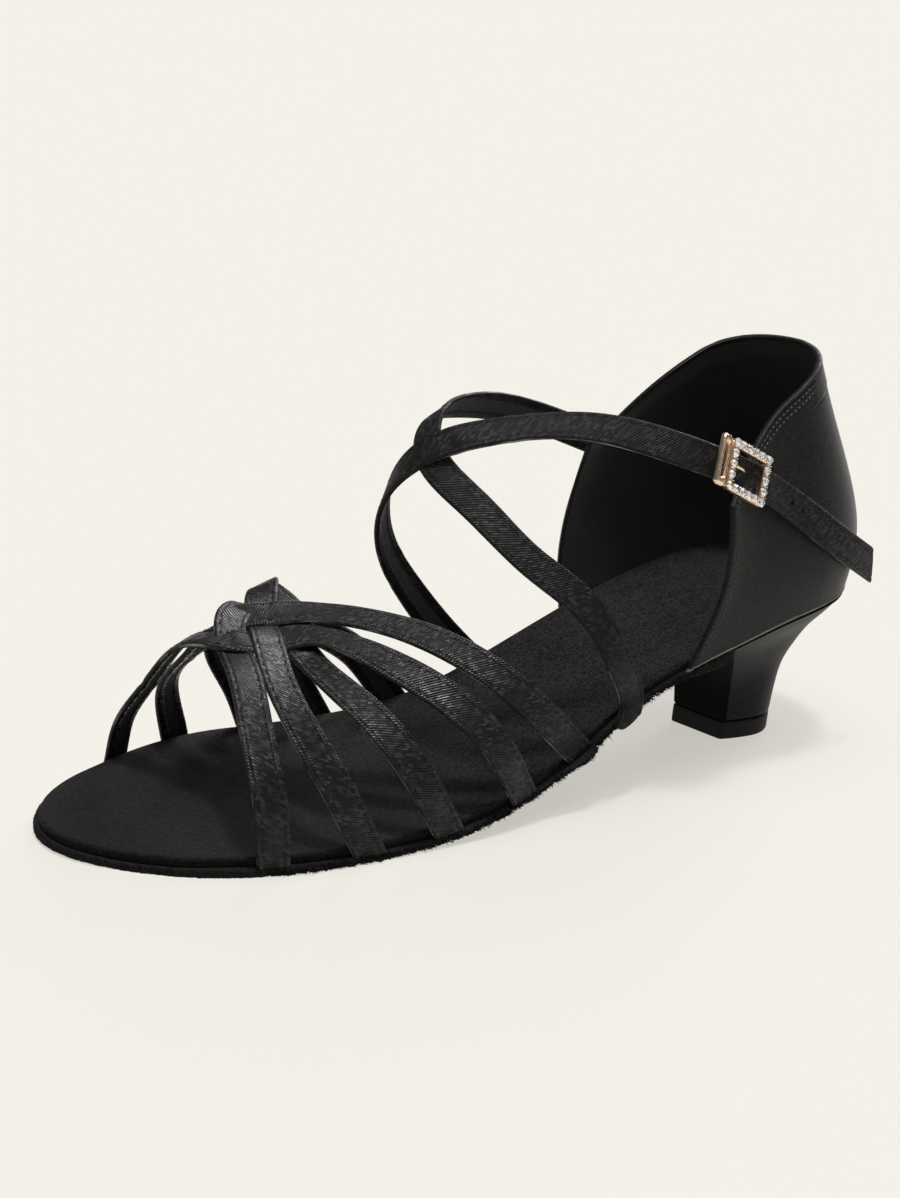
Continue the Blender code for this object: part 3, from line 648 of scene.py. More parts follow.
def seat_top(station):
    """Height of what the insole lies on."""
    return insole_top(station) - INSOLE_THICK - GAP


def outsole_thick(station):
    """Thickness of the outsole, with a lip where it ends on the breast."""
    lip = LIP_THICK * bell(station - BREAST, LIP_RUN)
    return np.interp(station, table(LEVELS, "station"), table(LEVELS, "outsole")) + lip


def on_outer(place, values):
    """Values along the outer side's edge, and none along the inner side's."""
    return np.where(np.mod(place, 2.0) <= 1.0, values, 0.0)


def pushed(place):
    """Growth of the outsole's edge at the feet of two straps on the outer side: a sum of bell curves."""
    station = loop(place)[..., 0]
    return on_outer(place, sum(row.growth * bell(station - row.station, row.half) for row in BULGES))


def placed(points):
    """Points of the last in the frame's metres."""
    points = np.asarray(points, float).reshape(-1, 3)
    return np.stack([HEEL_X - points[:, 0], points[:, 1] + AXIS_Y, points[:, 2]], 1) * MM


def on_last(point):
    """A point of the frame, in metres, as a point of the last."""
    x, y, z = np.asarray(point, float) / MM
    return np.array([HEEL_X - x, y - AXIS_Y, z])


def circle(sides):
    """Angles once round, with the last on the first."""
    return np.arange(sides + 1) * 2.0 * np.pi / sides


def summed(steps, axis):
    """Distances from the first line of a grid: the sum of the steps between its lines."""
    before = [(0, 0), (0, 0)]
    before[axis] = (1, 0)
    return np.pad(np.cumsum(steps, axis), before)


def sampled(at, travelled, values):
    """Rows of three values read at distances along a line."""
    return np.column_stack([np.interp(at, travelled, values[:, k]) for k in range(3)])


def capped(grid):
    """Grid with one more row at each end, drawn to the middle of the end row."""
    ends = [np.broadcast_to(grid[i].mean(0), grid[i].shape)[None] for i in (0, -1)]
    return np.concatenate([ends[0], grid, ends[1]])


def tubes(spine, side, other, radius, sides):
    """Points of many small tubes: rings of each radius round a spine, in the plane of two directions."""
    angle = circle(sides)[:, None]
    ring = np.cos(angle) * side[:, None, None] + np.sin(angle) * other[:, None, None]
    return spine[:, :, None] + ring * radius[:, None, None]


def quads_of(points):
    """Quads between the neighbours of a grid of points, or of each grid in a set of equal grids."""
    rows, columns = points.shape[-3:-1]
    grids = points.size // (3 * rows * columns)
    start = (np.arange(rows - 1)[:, None] * columns + np.arange(columns - 1)).ravel()
    quads = np.stack([start, start + 1, start + columns + 1, start + columns], 1)
    return (quads[None] + np.arange(grids)[:, None, None] * (rows * columns)).reshape(-1, 4)


def make_piece(name, nodes, points, materials, faces=None, uv=None, kinds=None, sharp=None):
    """Object of faces between points of the last, welded, faces outwards, riding on the shoe's one body.

    The faces are the quads of the grid unless others are given. uv gives each point's place on the cloth
    in millimetres, and kinds each face's material. Edges that turn by more than sharp stay sharp.
    """
    faces = quads_of(points) if faces is None else faces
    mesh = bpy.data.meshes.new(name)
    mesh.from_pydata(placed(points).tolist(), [], faces.tolist())
    for material in materials:
        mesh.materials.append(material)
    if uv is not None:
        cloth = mesh.uv_layers.new(name="cloth")
        cloth.data.foreach_set("uv", uv.reshape(-1, 2)[faces.ravel()].ravel())
    if kinds is not None:
        mesh.polygons.foreach_set("material_index", kinds.astype(np.int32))
    body = bmesh.new()
    body.from_mesh(mesh)
    bmesh.ops.remove_doubles(body, verts=body.verts, dist=WELD * MM)
    bmesh.ops.recalc_face_normals(body, faces=body.faces)
    body.to_mesh(mesh)
    body.free()
    mesh.shade_smooth()
    if sharp:
        mesh.set_sharp_from_angle(angle=sharp)
    item = bpy.data.objects.new(name, mesh)
    bpy.context.scene.collection.objects.link(item)
    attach(item, "root")
    if nodes:
        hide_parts(*nodes)
    return item


# Finishes

class Finish:
    """Material with a short way to add nodes and to join them up."""

    def __init__(self, name, colour, roughness, **settings):
        self.material = bpy.data.materials.new(name)
        self.material.use_nodes = True
        self.tree = self.material.node_tree
        self.shader = self.tree.nodes["Principled BSDF"]
        self.shader.inputs["Base Color"].default_value = (*colour, 1.0)
        self.shader.inputs["Roughness"].default_value = roughness
        for key, value in settings.items():
            socket = key.replace("_", " ").title().replace("Ior", "IOR")
            self.shader.inputs[socket].default_value = value

    def join(self, value, socket):
        """Joins a number or colour to one of the shader's sockets."""
        self.tree.links.new(value, self.shader.inputs[socket])

    def add(self, kind, *inputs, output=0, **settings):
        """New node with its inputs set or joined in order, and its settings; gives one of its outputs."""
        item = self.tree.nodes.new(kind)
        for key, value in settings.items():
            setattr(item, key, value)
        for socket, value in zip(item.inputs, inputs):
            if isinstance(value, bpy.types.NodeSocket):
                self.tree.links.new(value, socket)
            elif value is not None:
                socket.default_value = value
        return item.outputs[output]

    def math(self, operation, *inputs):
        """Number worked out from others."""
        return self.add("ShaderNodeMath", *inputs, operation=operation)

    def ramp(self, value, start, stop, low=0.0, high=1.0):
        """A number between start and stop, spread over another range."""
        return self.add("ShaderNodeMapRange", value, start, stop, low, high)

    def noise(self, vector, scale, detail=2.0, roughness=0.5):
        """Smooth noise, with features of about one over the scale in metres."""
        item = self.tree.nodes.new("ShaderNodeTexNoise")
        self.tree.links.new(vector, item.inputs["Vector"])
        item.inputs["Scale"].default_value = scale
        item.inputs["Detail"].default_value = detail
        item.inputs["Roughness"].default_value = roughness
        return item.outputs["Fac"]

    def place(self):
        """Object coordinates in metres."""
        return self.add("ShaderNodeTexCoord", output="Object")

    def cloth(self):
        """Place on the cloth in millimetres."""
        return self.add("ShaderNodeUVMap", uv_map="cloth")

    def tint(self, share, dark, light):
        """Colour between two others, joined to the shader."""
        mix = self.tree.nodes.new("ShaderNodeMix")
        mix.data_type = "RGBA"
        self.tree.links.new(share, mix.inputs["Factor"])
        mix.inputs["A"].default_value = (*dark, 1.0)
        mix.inputs["B"].default_value = (*light, 1.0)
        self.join(mix.outputs["Result"], "Base Color")

    def rough(self, share, low, high):
        """Roughness between two values, joined to the shader."""
        self.join(self.ramp(share, 0.0, 1.0, low, high), "Roughness")

    def bump(self, height, depth):
        """Relief of a depth in millimetres, joined to the shader."""
        item = self.tree.nodes.new("ShaderNodeBump")
        item.inputs["Strength"].default_value = 1.0
        item.inputs["Distance"].default_value = depth * MM
        self.tree.links.new(height, item.inputs["Height"])
        self.join(item.outputs["Normal"], "Normal")


def weave(finish, period, float_length, lean, shift=0.382):
    """Satin twill: ribs across a leaning direction, broken into floats with a tone of their own.

    The cloth's place is turned by the lean and divided by the rib's period. The sine of the first part
    gives the ribs, and a random number of the whole parts gives each float its tone. From rib to rib the
    floats move on by a share of their length.
    """
    turned = finish.add("ShaderNodeMapping", finish.cloth(), None, (0.0, 0.0, -np.radians(lean)),
                        (1.0 / period, 1.0 / period, 1.0))
    across = finish.add("ShaderNodeSeparateXYZ", turned, output="X")
    along = finish.add("ShaderNodeSeparateXYZ", turned, output="Y")
    ribs = finish.math("SINE", finish.math("MULTIPLY", across, 2.0 * np.pi))
    row = finish.math("FLOOR", across)
    moved = finish.math("MULTIPLY", row, shift)
    shifted = finish.math("MULTIPLY_ADD", along, period / float_length, moved)
    cell = finish.add("ShaderNodeCombineXYZ", row, finish.math("FLOOR", shifted))
    tone = finish.add("ShaderNodeTexWhiteNoise", cell, noise_dimensions="2D")
    tilt = finish.math("MULTIPLY", finish.math("SUBTRACT", tone, 0.5), finish.math("FRACT", shifted))
    return ribs, tone, tilt


def strap_satin(name, gloss, smooth, dull, glint, period=0.6, lean=42.0):
    """Black satin of the straps: diagonal ribs with a period in millimetres, and floats painted lighter
    at random up to the glint colour, as painted glints.
    """
    finish = Finish(name, (0.012, 0.012, 0.0125), 0.36, specular_ior_level=gloss)
    ribs, tone, tilt = weave(finish, period, 2.0 * period, lean)
    glint_patches = finish.noise(finish.place(), scale=140.0, detail=3.0)
    # painted glints: some floats, in noise patches, get a lighter colour
    painted_glint = finish.math("MULTIPLY", finish.math("POWER", tone, 3.0), glint_patches)
    finish.tint(painted_glint, dark=(0.004, 0.004, 0.0041), light=(glint, glint, 1.02 * glint))
    finish.rough(tone, low=dull, high=smooth)
    finish.bump(finish.math("MULTIPLY_ADD", tilt, 3.0, ribs), depth=0.048)
    return finish.material


def pale_edge_highlight():
    """Very edge of the straps: pale patches in places, a painted highlight of the edge."""
    finish = Finish("pale_edge_highlight", (0.02, 0.02, 0.02), 0.6, specular_ior_level=0.3)
    bare = finish.noise(finish.place(), scale=70.0, detail=3.0, roughness=0.6)
    fine = finish.noise(finish.place(), scale=1400.0)
    highlight_share = finish.ramp(finish.math("MULTIPLY_ADD", fine, 0.15, bare), start=0.55, stop=0.75)
    finish.tint(highlight_share, dark=(0.008, 0.008, 0.008), light=(0.30, 0.29, 0.28))
    finish.bump(fine, depth=0.05)
    return finish.material


def lower_edge_highlight():
    """Lower edge of the counter: pale grey patches along it, a painted highlight of the edge."""
    finish = Finish("lower_edge_highlight", (0.05, 0.05, 0.05), 0.7, specular_ior_level=0.3)
    fine = finish.noise(finish.place(), scale=400.0, detail=3.0)
    finish.tint(fine, dark=(0.03, 0.03, 0.03), light=(0.30, 0.295, 0.29))
    finish.bump(fine, depth=0.03)
    return finish.material


def lining_cloth():
    """Lining behind the straps: plain close cloth, duller than the satin."""
    finish = Finish("lining_cloth", (0.012, 0.012, 0.0125), 0.75, specular_ior_level=0.3)
    ribs, tone, _ = weave(finish, period=0.4, float_length=0.4, lean=0.0)
    finish.tint(tone, dark=(0.016, 0.016, 0.0165), light=(0.045, 0.045, 0.046))
    finish.rough(tone, low=0.55, high=0.75)
    finish.bump(finish.math("ADD", ribs, tone), depth=0.03)
    return finish.material


def smooth_satin(name, gloss, sheen, border):
    """Black satin of counter and heel: a close weave, soft pulls in its sheen, and a near-black matt
    border of painted shade.

    The border is the cloth up to a distance, in millimetres, from where its own measure begins.
    """
    finish = Finish(name, (0.009, 0.009, 0.0092), 0.5, specular_ior_level=gloss, sheen_weight=sheen,
                    sheen_roughness=0.3)
    ribs, tone, _ = weave(finish, period=0.3, float_length=0.9, lean=60.0)
    pull = finish.noise(finish.place(), scale=60.0, detail=4.0, roughness=0.6)
    measure = finish.add("ShaderNodeSeparateXYZ", finish.cloth(), output="X")
    # inside the border the colour is near black and the cloth matt: painted shade carried on from the
    # breast
    beyond_painted_shade = finish.ramp(measure, start=border - 0.3, stop=border + 0.3)
    light = finish.math("MULTIPLY", finish.math("MULTIPLY", tone, pull), beyond_painted_shade)
    finish.tint(light, dark=(0.0018, 0.0018, 0.0019), light=(0.023, 0.023, 0.0235))
    matt = 0.95
    smooth = finish.math("SUBTRACT", matt, finish.ramp(pull, 0.0, 1.0, low=0.36, high=0.54))
    finish.join(finish.math("SUBTRACT", matt, finish.math("MULTIPLY", smooth, beyond_painted_shade)), "Roughness")
    slubs = finish.math("MULTIPLY_ADD", pull, 1.2, finish.math("MULTIPLY", tone, 0.5))
    finish.bump(finish.math("MULTIPLY_ADD", ribs, 0.25, slubs), depth=0.035)
    return finish.material


def breast_painted_shade():
    """Front face of the heel: the heel's satin made near black and matt, as painted shade."""
    finish = Finish("breast_painted_shade", (0.0035, 0.0035, 0.0035), 0.9, specular_ior_level=0.06)
    fine = finish.noise(finish.place(), scale=1500.0)
    finish.tint(fine, dark=(0.003, 0.003, 0.003), light=(0.0075, 0.0075, 0.0075))
    finish.rough(fine, low=0.8, high=1.0)
    finish.bump(fine, depth=0.02)
    return finish.material


def counter_lining():
    """Inside of the counter: close matt cloth."""
    finish = Finish("counter_lining", (0.010, 0.010, 0.0105), 0.85, specular_ior_level=0.3)
    fine = finish.noise(finish.place(), scale=2600.0)
    broad = finish.noise(finish.place(), scale=90.0, detail=3.0)
    tone = finish.math("MULTIPLY", fine, broad)
    finish.tint(tone, dark=(0.012, 0.012, 0.012), light=(0.036, 0.036, 0.036))
    finish.rough(broad, low=0.75, high=0.95)
    finish.bump(fine, depth=0.05)
    return finish.material


def suede(name, dark, light, tread=(1.0, 1.0)):
    """Brushed black suede: fine nap, streaks, and broad patches where the nap lies another way.

    tread scales the tone at the toe and at the seat: painted light and shade, the toe darker and the seat
    lighter.
    """
    finish = Finish(name, light, 0.95, specular_ior_level=0.12, sheen_weight=0.02, sheen_roughness=0.6)
    where = finish.place()
    brushed = finish.add("ShaderNodeMapping", where, None, (0.0, 0.0, 0.3), (0.35, 1.0, 1.0))
    nap = finish.noise(where, scale=1500.0, detail=1.0)
    streak = finish.noise(brushed, scale=330.0, detail=4.0)
    patch = finish.noise(where, scale=38.0, detail=3.0)
    fine = finish.math("MULTIPLY_ADD", nap, 1.2, finish.math("MULTIPLY", streak, 0.3))
    tone = finish.math("MULTIPLY_ADD", patch, 0.3, finish.math("SUBTRACT", fine, 0.4))
    length = finish.add("ShaderNodeSeparateXYZ", where, output="X")
    toe, seat = tread
    # painted light: the colour ramps from darker at the toe to lighter at the seat
    painted_light_ramp = finish.ramp(length, start=-0.1, stop=0.03, low=toe, high=seat)
    contrast = finish.ramp(tone, 0.0, 1.0, low=-0.6, high=1.6)
    finish.tint(finish.math("MULTIPLY", contrast, painted_light_ramp), dark, light)
    finish.rough(streak, low=0.85, high=1.0)
    finish.bump(finish.math("ADD", nap, streak), depth=0.12)
    return finish.material


def rubber():
    """Black top piece of the heel: fine moulded grain, scuffed a little."""
    finish = Finish("tip_rubber", (0.008, 0.008, 0.008), 0.5, specular_ior_level=0.12)
    grain = finish.noise(finish.place(), scale=1800.0)
    scuff = finish.noise(finish.place(), scale=260.0, detail=5.0, roughness=0.7)
    finish.tint(scuff, dark=(0.005, 0.005, 0.005), light=(0.014, 0.014, 0.0138))
    finish.rough(scuff, low=0.38, high=0.66)
    finish.bump(finish.math("MULTIPLY_ADD", scuff, 0.8, grain), depth=0.03)
    return finish.material


def rose_gold():
    """Polished rose gold with hair scratches."""
    finish = Finish("rose_gold_polish", (0.93, 0.70, 0.50), 0.16, metallic=1.0)
    fine = finish.noise(finish.place(), scale=900.0, detail=3.0)
    finish.tint(fine, dark=(0.86, 0.61, 0.41), light=(0.99, 0.80, 0.60))
    finish.rough(fine, low=0.18, high=0.34)
    finish.bump(fine, depth=0.01)
    return finish.material


def clear_stone():
    """Clear cut glass over a silver back, with white patches by noise in its colour as painted flashes.
    """
    finish = Finish("cut_glass", (0.93, 0.95, 0.98), 0.05, metallic=0.55, coat_weight=1.0,
                    coat_roughness=0.02)
    sparkle_noise = finish.noise(finish.place(), scale=1700.0, detail=1.0)
    painted_sparkle = finish.ramp(sparkle_noise, start=0.40, stop=0.50)
    finish.tint(painted_sparkle, dark=(0.30, 0.31, 0.33), light=(1.0, 1.0, 1.0))
    finish.rough(sparkle_noise, low=0.02, high=0.10)
    return finish.material


def thread(name, light):
    """Twisted sewing thread, black, with noise patches of a lighter tone: painted highlights where it
    would catch the light.
    """
    finish = Finish(name, (0.008, 0.008, 0.0083), 0.6, specular_ior_level=0.15)
    highlight_noise = finish.noise(finish.place(), scale=3000.0, detail=1.0)
    finish.tint(highlight_noise, dark=(0.004, 0.004, 0.004), light=light)
    finish.rough(highlight_noise, low=0.5, high=0.75)
    finish.bump(highlight_noise, depth=0.04)
    return finish.material


# Sole

def slab_grid(share, grow, rise, top, bottom, across):
    """Closed slab on the sole's outline, as a section carried along the foot.

    grow and rise give the section of the edge from the lower corner to the upper one, as growths of the
    edge at a place and shares of the height. Across the top and the bottom the points lie evenly between
    the two edges.
    """
    edges = []
    for place in (share, 2.0 - share):
        growth = grow(place)
        plan = edge(np.repeat(place[:, None], growth.shape[1], 1), growth)
        low = bottom(plan[..., 0])
        height = low + (top(plan[..., 0]) - low) * rise
        edges.append(np.concatenate([plan, height[..., None]], -1))
    outer, inner = edges
    even = np.linspace(0.0, 1.0, across)[1:-1, None]

    def span(first, second, level):
        """Points evenly across between two edge lines, set on a level."""
        points = first[:, None] * (1.0 - even) + second[:, None] * even
        points[..., 2] = level(points[..., 0])
        return points

    upper = span(outer[:, -1], inner[:, -1], top)
    lower = span(inner[:, 0], outer[:, 0], bottom)
    return np.concatenate([outer, upper, inner[:, ::-1], lower, outer[:, :1]], 1)


def make_insole(sock):
    """Insole board under its suede sock: the upper edge is a quarter round, the top follows the last."""
    share = np.linspace(0.0, 1.0, INSOLE_ROWS)
    turn = np.linspace(0.0, np.pi / 2.0, INSOLE_CORNER)[1:]
    corner = INSOLE_ROUND / INSOLE_THICK
    inward = np.concatenate([[0.0, 0.0], -INSOLE_ROUND * (1.0 - np.cos(turn))])
    rise = np.concatenate([[0.0, 1.0 - corner], 1.0 - corner * (1.0 - np.sin(turn))])

    def grow(place):
        """The insole's own edge, drawn in round its upper corner."""
        return insole_grow(place)[:, None] + inward

    def bottom(station):
        """Underside of the board."""
        return insole_top(station) - INSOLE_THICK

    grid = slab_grid(share, grow, rise, insole_top, bottom, INSOLE_ACROSS)
    make_piece("insole_sock", ["insole"], grid, [sock])


def ragged(place, seed):
    """Unevenness of a knife-trimmed suede edge: waves of many lengths with random phases."""
    random = np.random.default_rng(seed)
    waves = TRIM_FIRST * TRIM_RATIO ** np.arange(TRIM_WAVES)
    phase = random.uniform(0.0, 2.0 * np.pi, TRIM_WAVES)
    height = random.uniform(0.4, 1.0, TRIM_WAVES) * np.linspace(0.7, 1.5, TRIM_WAVES)
    total = np.sin(place[..., None] * waves + phase) * height
    return total.sum(-1) / TRIM_WAVES ** 0.5


def worn(place):
    """Share of wear along the edge: whole on the outer side between the straps, none elsewhere."""
    station = loop(place)[..., 0]
    span = eased((station - WORN_FROM) / WORN_EASE) * eased((WORN_TO - station) / WORN_EASE)
    return on_outer(place, span)


def tread_level(station):
    """Height of the outsole's underside."""
    return seat_top(station) - outsole_thick(station)


def make_outsole(tread):
    """Thin suede sole from the toe to the breast, its edge trimmed by knife and a little uneven."""
    share = np.linspace(share_of(BREAST + GAP), 1.0, OUTSOLE_ROWS)
    level = np.linspace(0.0, 1.0, OUTSOLE_LEVELS)

    def grow(place):
        """Each level of the edge has an unevenness of its own, besides the one that all share."""
        own = np.stack([ragged(place, LEVEL_SEED + i) for i in range(OUTSOLE_LEVELS)], 1)
        rough = TRIM_OWN * own + TRIM_SHARED * ragged(place, TRIM_SEED)[:, None]
        depth = RAGGED + WORN_RAGGED * worn(place)[:, None]
        return pushed(place)[:, None] + depth * (rough - TRIM_SINK) + TRIM_SWELL * np.sin(np.pi * level)

    grid = slab_grid(share, grow, level, seat_top, tread_level, OUTSOLE_ACROSS)
    middle = np.broadcast_to(grid[:1].mean(1, keepdims=True), grid[:1].shape)
    make_piece("outsole_suede", ["outsole"], np.concatenate([middle, grid]), [tread])


def make_fibres(tread):
    """Loose fibres of the trimmed edge: thin tapered tubes that lean out and down from random places.

    A fibre is three rings of three points: the radius shrinks along it, and it curls by the square of
    the distance from its root. Fibres are longer in clumps, which two sine waves along the sole give,
    and most of all on the outer side between the straps.
    """
    random = np.random.default_rng(FIBRE_SEED)
    outer = random.uniform(0.0, 1.0, FIBRES) < FIBRE_OUTER
    station = np.where(random.uniform(0.0, 1.0, FIBRES) < FIBRE_BEHIND,
                       random.uniform(BREAST + 4.0, FIBRE_TOE, FIBRES),
                       random.uniform(FIBRE_TOE, LENGTH, FIBRES))
    place = place_of(station, np.where(outer, -1, 1))
    clump = 0.5 + 0.5 * np.sin(station * 0.55) * np.sin(station * 0.21 + 1.0)
    length = FIBRE_LENGTH * (0.5 + 1.6 * random.uniform(0.0, 1.0, FIBRES) ** 2) * (0.6 + 0.9 * clump)
    length = (length * (0.45 + 0.75 * worn(place)))[:, None, None]
    inside = pushed(place) - FIBRE_SUNK - FIBRE_SUNK_MORE * random.uniform(0.0, 1.0, FIBRES)
    level = np.zeros((FIBRES, 1))
    root = np.append(edge(place, inside), level, 1)
    thick = outsole_thick(root[:, 0])
    root[:, 2] = tread_level(root[:, 0]) + thick * random.uniform(0.1, 1.0, FIBRES)
    out = np.append(edge_normal(place), level, 1)
    lean = random.normal(0.0, 1.0, (FIBRES, 3)) * FIBRE_LEAN
    aim = unit(out + lean + FIBRE_DROOP)
    curl = random.normal(0.0, FIBRE_CURL, (FIBRES, 3))
    side = unit(np.cross(aim, [0.0, 0.0, 1.0]))
    along = np.linspace(0.0, 1.0, len(FIBRE_TAPER))[:, None]
    spine = root[:, None] + (aim[:, None] * along + curl[:, None] * along ** 2) * length
    spine[..., 2] = np.maximum(spine[..., 2], FIBRE_RADIUS)
    points = tubes(spine, side, np.cross(aim, side), FIBRE_RADIUS * FIBRE_TAPER, FIBRE_SIDES)
    make_piece("outsole_fibres", [], points, [tread])


# Heel

def tip_half(station):
    """Half width of the heel's foot: a round back, and sides that draw in to the flat front."""
    back = np.clip((TIP_WIDEST - station) / (TIP_WIDEST - TIP_BACK), 0.0, 1.0)
    front = np.clip((station - TIP_WIDEST) / (TIP_FRONT - TIP_WIDEST), 0.0, 1.0)
    return TIP_HALF * np.sqrt(1.0 - back ** 2) - (TIP_HALF - TIP_FRONT_HALF) * front ** 2


def softened(ring):
    """Closed ring with its corners rounded by a 1-4-6-4-1 average."""
    near = np.roll(ring, 1, 0) + np.roll(ring, -1, 0)
    far = np.roll(ring, 2, 0) + np.roll(ring, -2, 0)
    return (6.0 * ring + 4.0 * near + far) / 16.0


def heel_rings():
    """Plans of the heel's foot and of its seat, from the outer front corner round the back.

    Both are closed along the breast by a straight line back to the outer front corner.
    """
    turn = np.linspace(0.0, 1.0, HEEL_SIDE_POINTS + 1)
    station = TIP_BACK + (TIP_FRONT - TIP_BACK) * (1.0 - np.sin(turn * np.pi / 2.0))
    outer = np.column_stack([station, -tip_half(station)])
    foot = np.concatenate([outer, (outer * [1.0, -1.0])[::-1][1:]])
    foot[:, 0] += TIP_SKEW * foot[:, 1] * (foot[:, 0] - TIP_BACK) / (TIP_FRONT - TIP_BACK)
    share = share_of(BREAST) * (1.0 - turn)
    seat = np.concatenate([edge(share), edge(2.0 - share[::-1][1:])])
    across = np.linspace(1.0, 0.0, HEEL_FRONT_POINTS)[1:-1, None]
    closed = [np.concatenate([ring, ring[:1] + (ring[-1:] - ring[:1]) * across]) for ring in (foot, seat)]
    return softened(closed[0]), softened(closed[1])


def ring_stack(rings):
    """Closed body from a stack of rings, each closed on itself, the first and last drawn to a point."""
    stack = capped(np.asarray(rings))
    return np.concatenate([stack, stack[:, :1]], 1)


def make_heel_block(satin, dull):
    """Heel lofted from its foot to its seat by the flare table, with a bead where the covering ends."""
    foot, seat = heel_rings()
    low = TIP_THICK + GAP / 2.0
    high = seat_top(seat[:, 0])
    share = np.concatenate(HEEL_ROWS)
    spread = spline(table(FLARE, "share"), table(FLARE, "spread"), share)[:, None, None]
    plan = foot + (seat - foot) * spread
    middle = plan.mean(1, keepdims=True)
    bead = HEEL_BEAD * bell(share - 1.0 + HEEL_BEAD_RUN, HEEL_BEAD_RUN * 0.6)
    tuck = -FOOT_TUCK * (1.0 - np.sqrt(np.clip(share / FOOT_TUCK_RUN, 0.0, 1.0)))
    tuck = tuck - SEAT_TUCK * eased((share - 1.0 + SEAT_TUCK_RUN) / SEAT_TUCK_RUN)
    plan = plan + unit(plan - middle) * (bead + tuck)[:, None, None]
    height = low + (high - low) * share[:, None]
    grid = ring_stack(np.concatenate([plan, height[..., None]], -1))
    rows, columns = grid.shape[:2]
    girth = summed(np.linalg.norm(np.diff(grid, axis=1), axis=2), 1)
    uv = np.stack([girth, grid[..., 2]], -1)
    # the breast's faces take the second material: painted shade
    breast = np.arange(columns - 1) >= 2 * HEEL_SIDE_POINTS
    kinds = np.tile(breast, rows - 1)
    make_piece("heel_cover", ["heel_block"], grid, [satin, dull], uv=uv, kinds=kinds)


def make_heel_tip(black):
    """Top piece under the heel: the foot's plan with rounded lower and upper corners."""
    foot, _ = heel_rings()
    out = unit(foot - foot.mean(0))
    grid = ring_stack([np.column_stack([foot - out * ring.inset, np.full(len(foot), ring.height)])
                       for ring in TIP_RINGS])
    make_piece("heel_top_piece", ["heel_tip"], grid, [black], sharp=TIP_SHARP)


# Counter

def shell_section(along, share, column):
    """Plan of the counter's outer face: along 0 at the front edge to 1 at the back, share up the wall.

    Each section is an arc round the heel that runs on into a side which widens to the front edge.
    """
    shares = table(SHELL, "share")
    back = spline(shares, table(SHELL, "back"), share)
    radius = spline(shares, table(SHELL, "radius"), share)
    wide = spline(shares, table(SHELL, column), share)
    front = spline(shares, table(SHELL, column + "_front"), share)
    straight = front - back - radius
    travelled = along * (straight + radius * np.pi / 2.0)
    ahead = np.clip(1.0 - travelled / straight, 0.0, 1.0)
    angle = np.clip((travelled - straight) / radius, 0.0, np.pi / 2.0)
    station = back + radius * (1.0 - np.sin(angle)) + straight * ahead
    return station, radius * np.cos(angle) + (wide - radius) * ahead ** 2


def counter_side(along, share, side):
    """Outer face of the counter on one side, its lower edge drawn to the sole's own outline."""
    column = "lateral" if side < 0 else "medial"
    station, across = shell_section(along, share, column)
    foot_station, foot_across = shell_section(along, np.zeros_like(share), column)
    across = across + (half_width(share_of(foot_station), column) - foot_across) * (1.0 - share) ** 3
    low = insole_top(np.maximum(station, 0.0)) - INSOLE_THICK
    high = spline(table(RIM, "share"), table(RIM, column), along)
    return np.stack([station, side * across, low + (high - low) * share], -1)


def counter_face(turn, share):
    """Outer face of the counter: turn -1 at the outer front, 0 at the back, 1 at the inner front."""
    along = 1.0 - np.abs(turn)
    outer = counter_side(along, share, -1)
    inner = counter_side(along, share, 1)
    return np.where((turn < 0.0)[..., None], outer, inner)


def counter_out(turn, share):
    """Outward direction of the counter's face, by the cross product of its two small steps."""
    step = 0.004
    across = counter_face(turn + step, share) - counter_face(turn - step, share)
    up = counter_face(turn, share + step) - counter_face(turn, share - step)
    return unit(np.cross(up, across))


def crowded(length, margin):
    """Places from 0 to 1 along a length, with the distances of a margin crowded at both ends."""
    middle = np.linspace(margin[-1], length - margin[-1], int(length / WALL_STEP))[1:-1]
    return np.concatenate([margin, middle, length - margin[::-1]]) / length


def counter_grid():
    """Turns and shares of the counter's rows, close together at its edges and at the tab's seam."""
    lip = LIP_ROUND * (1.0 - np.cos(np.linspace(0.0, np.pi / 2.0, LIP_POINTS)))
    margin = np.concatenate([lip, np.linspace(LIP_ROUND, RIM_WIDTH + RIM_FINE, RIM_POINTS)[1:]])
    up = np.union1d(crowded(WALL_HEIGHT, margin), TAB_SHARE + TAB_FINE)
    return np.meshgrid(crowded(WALL_LENGTH, margin) * 2.0 - 1.0, up)


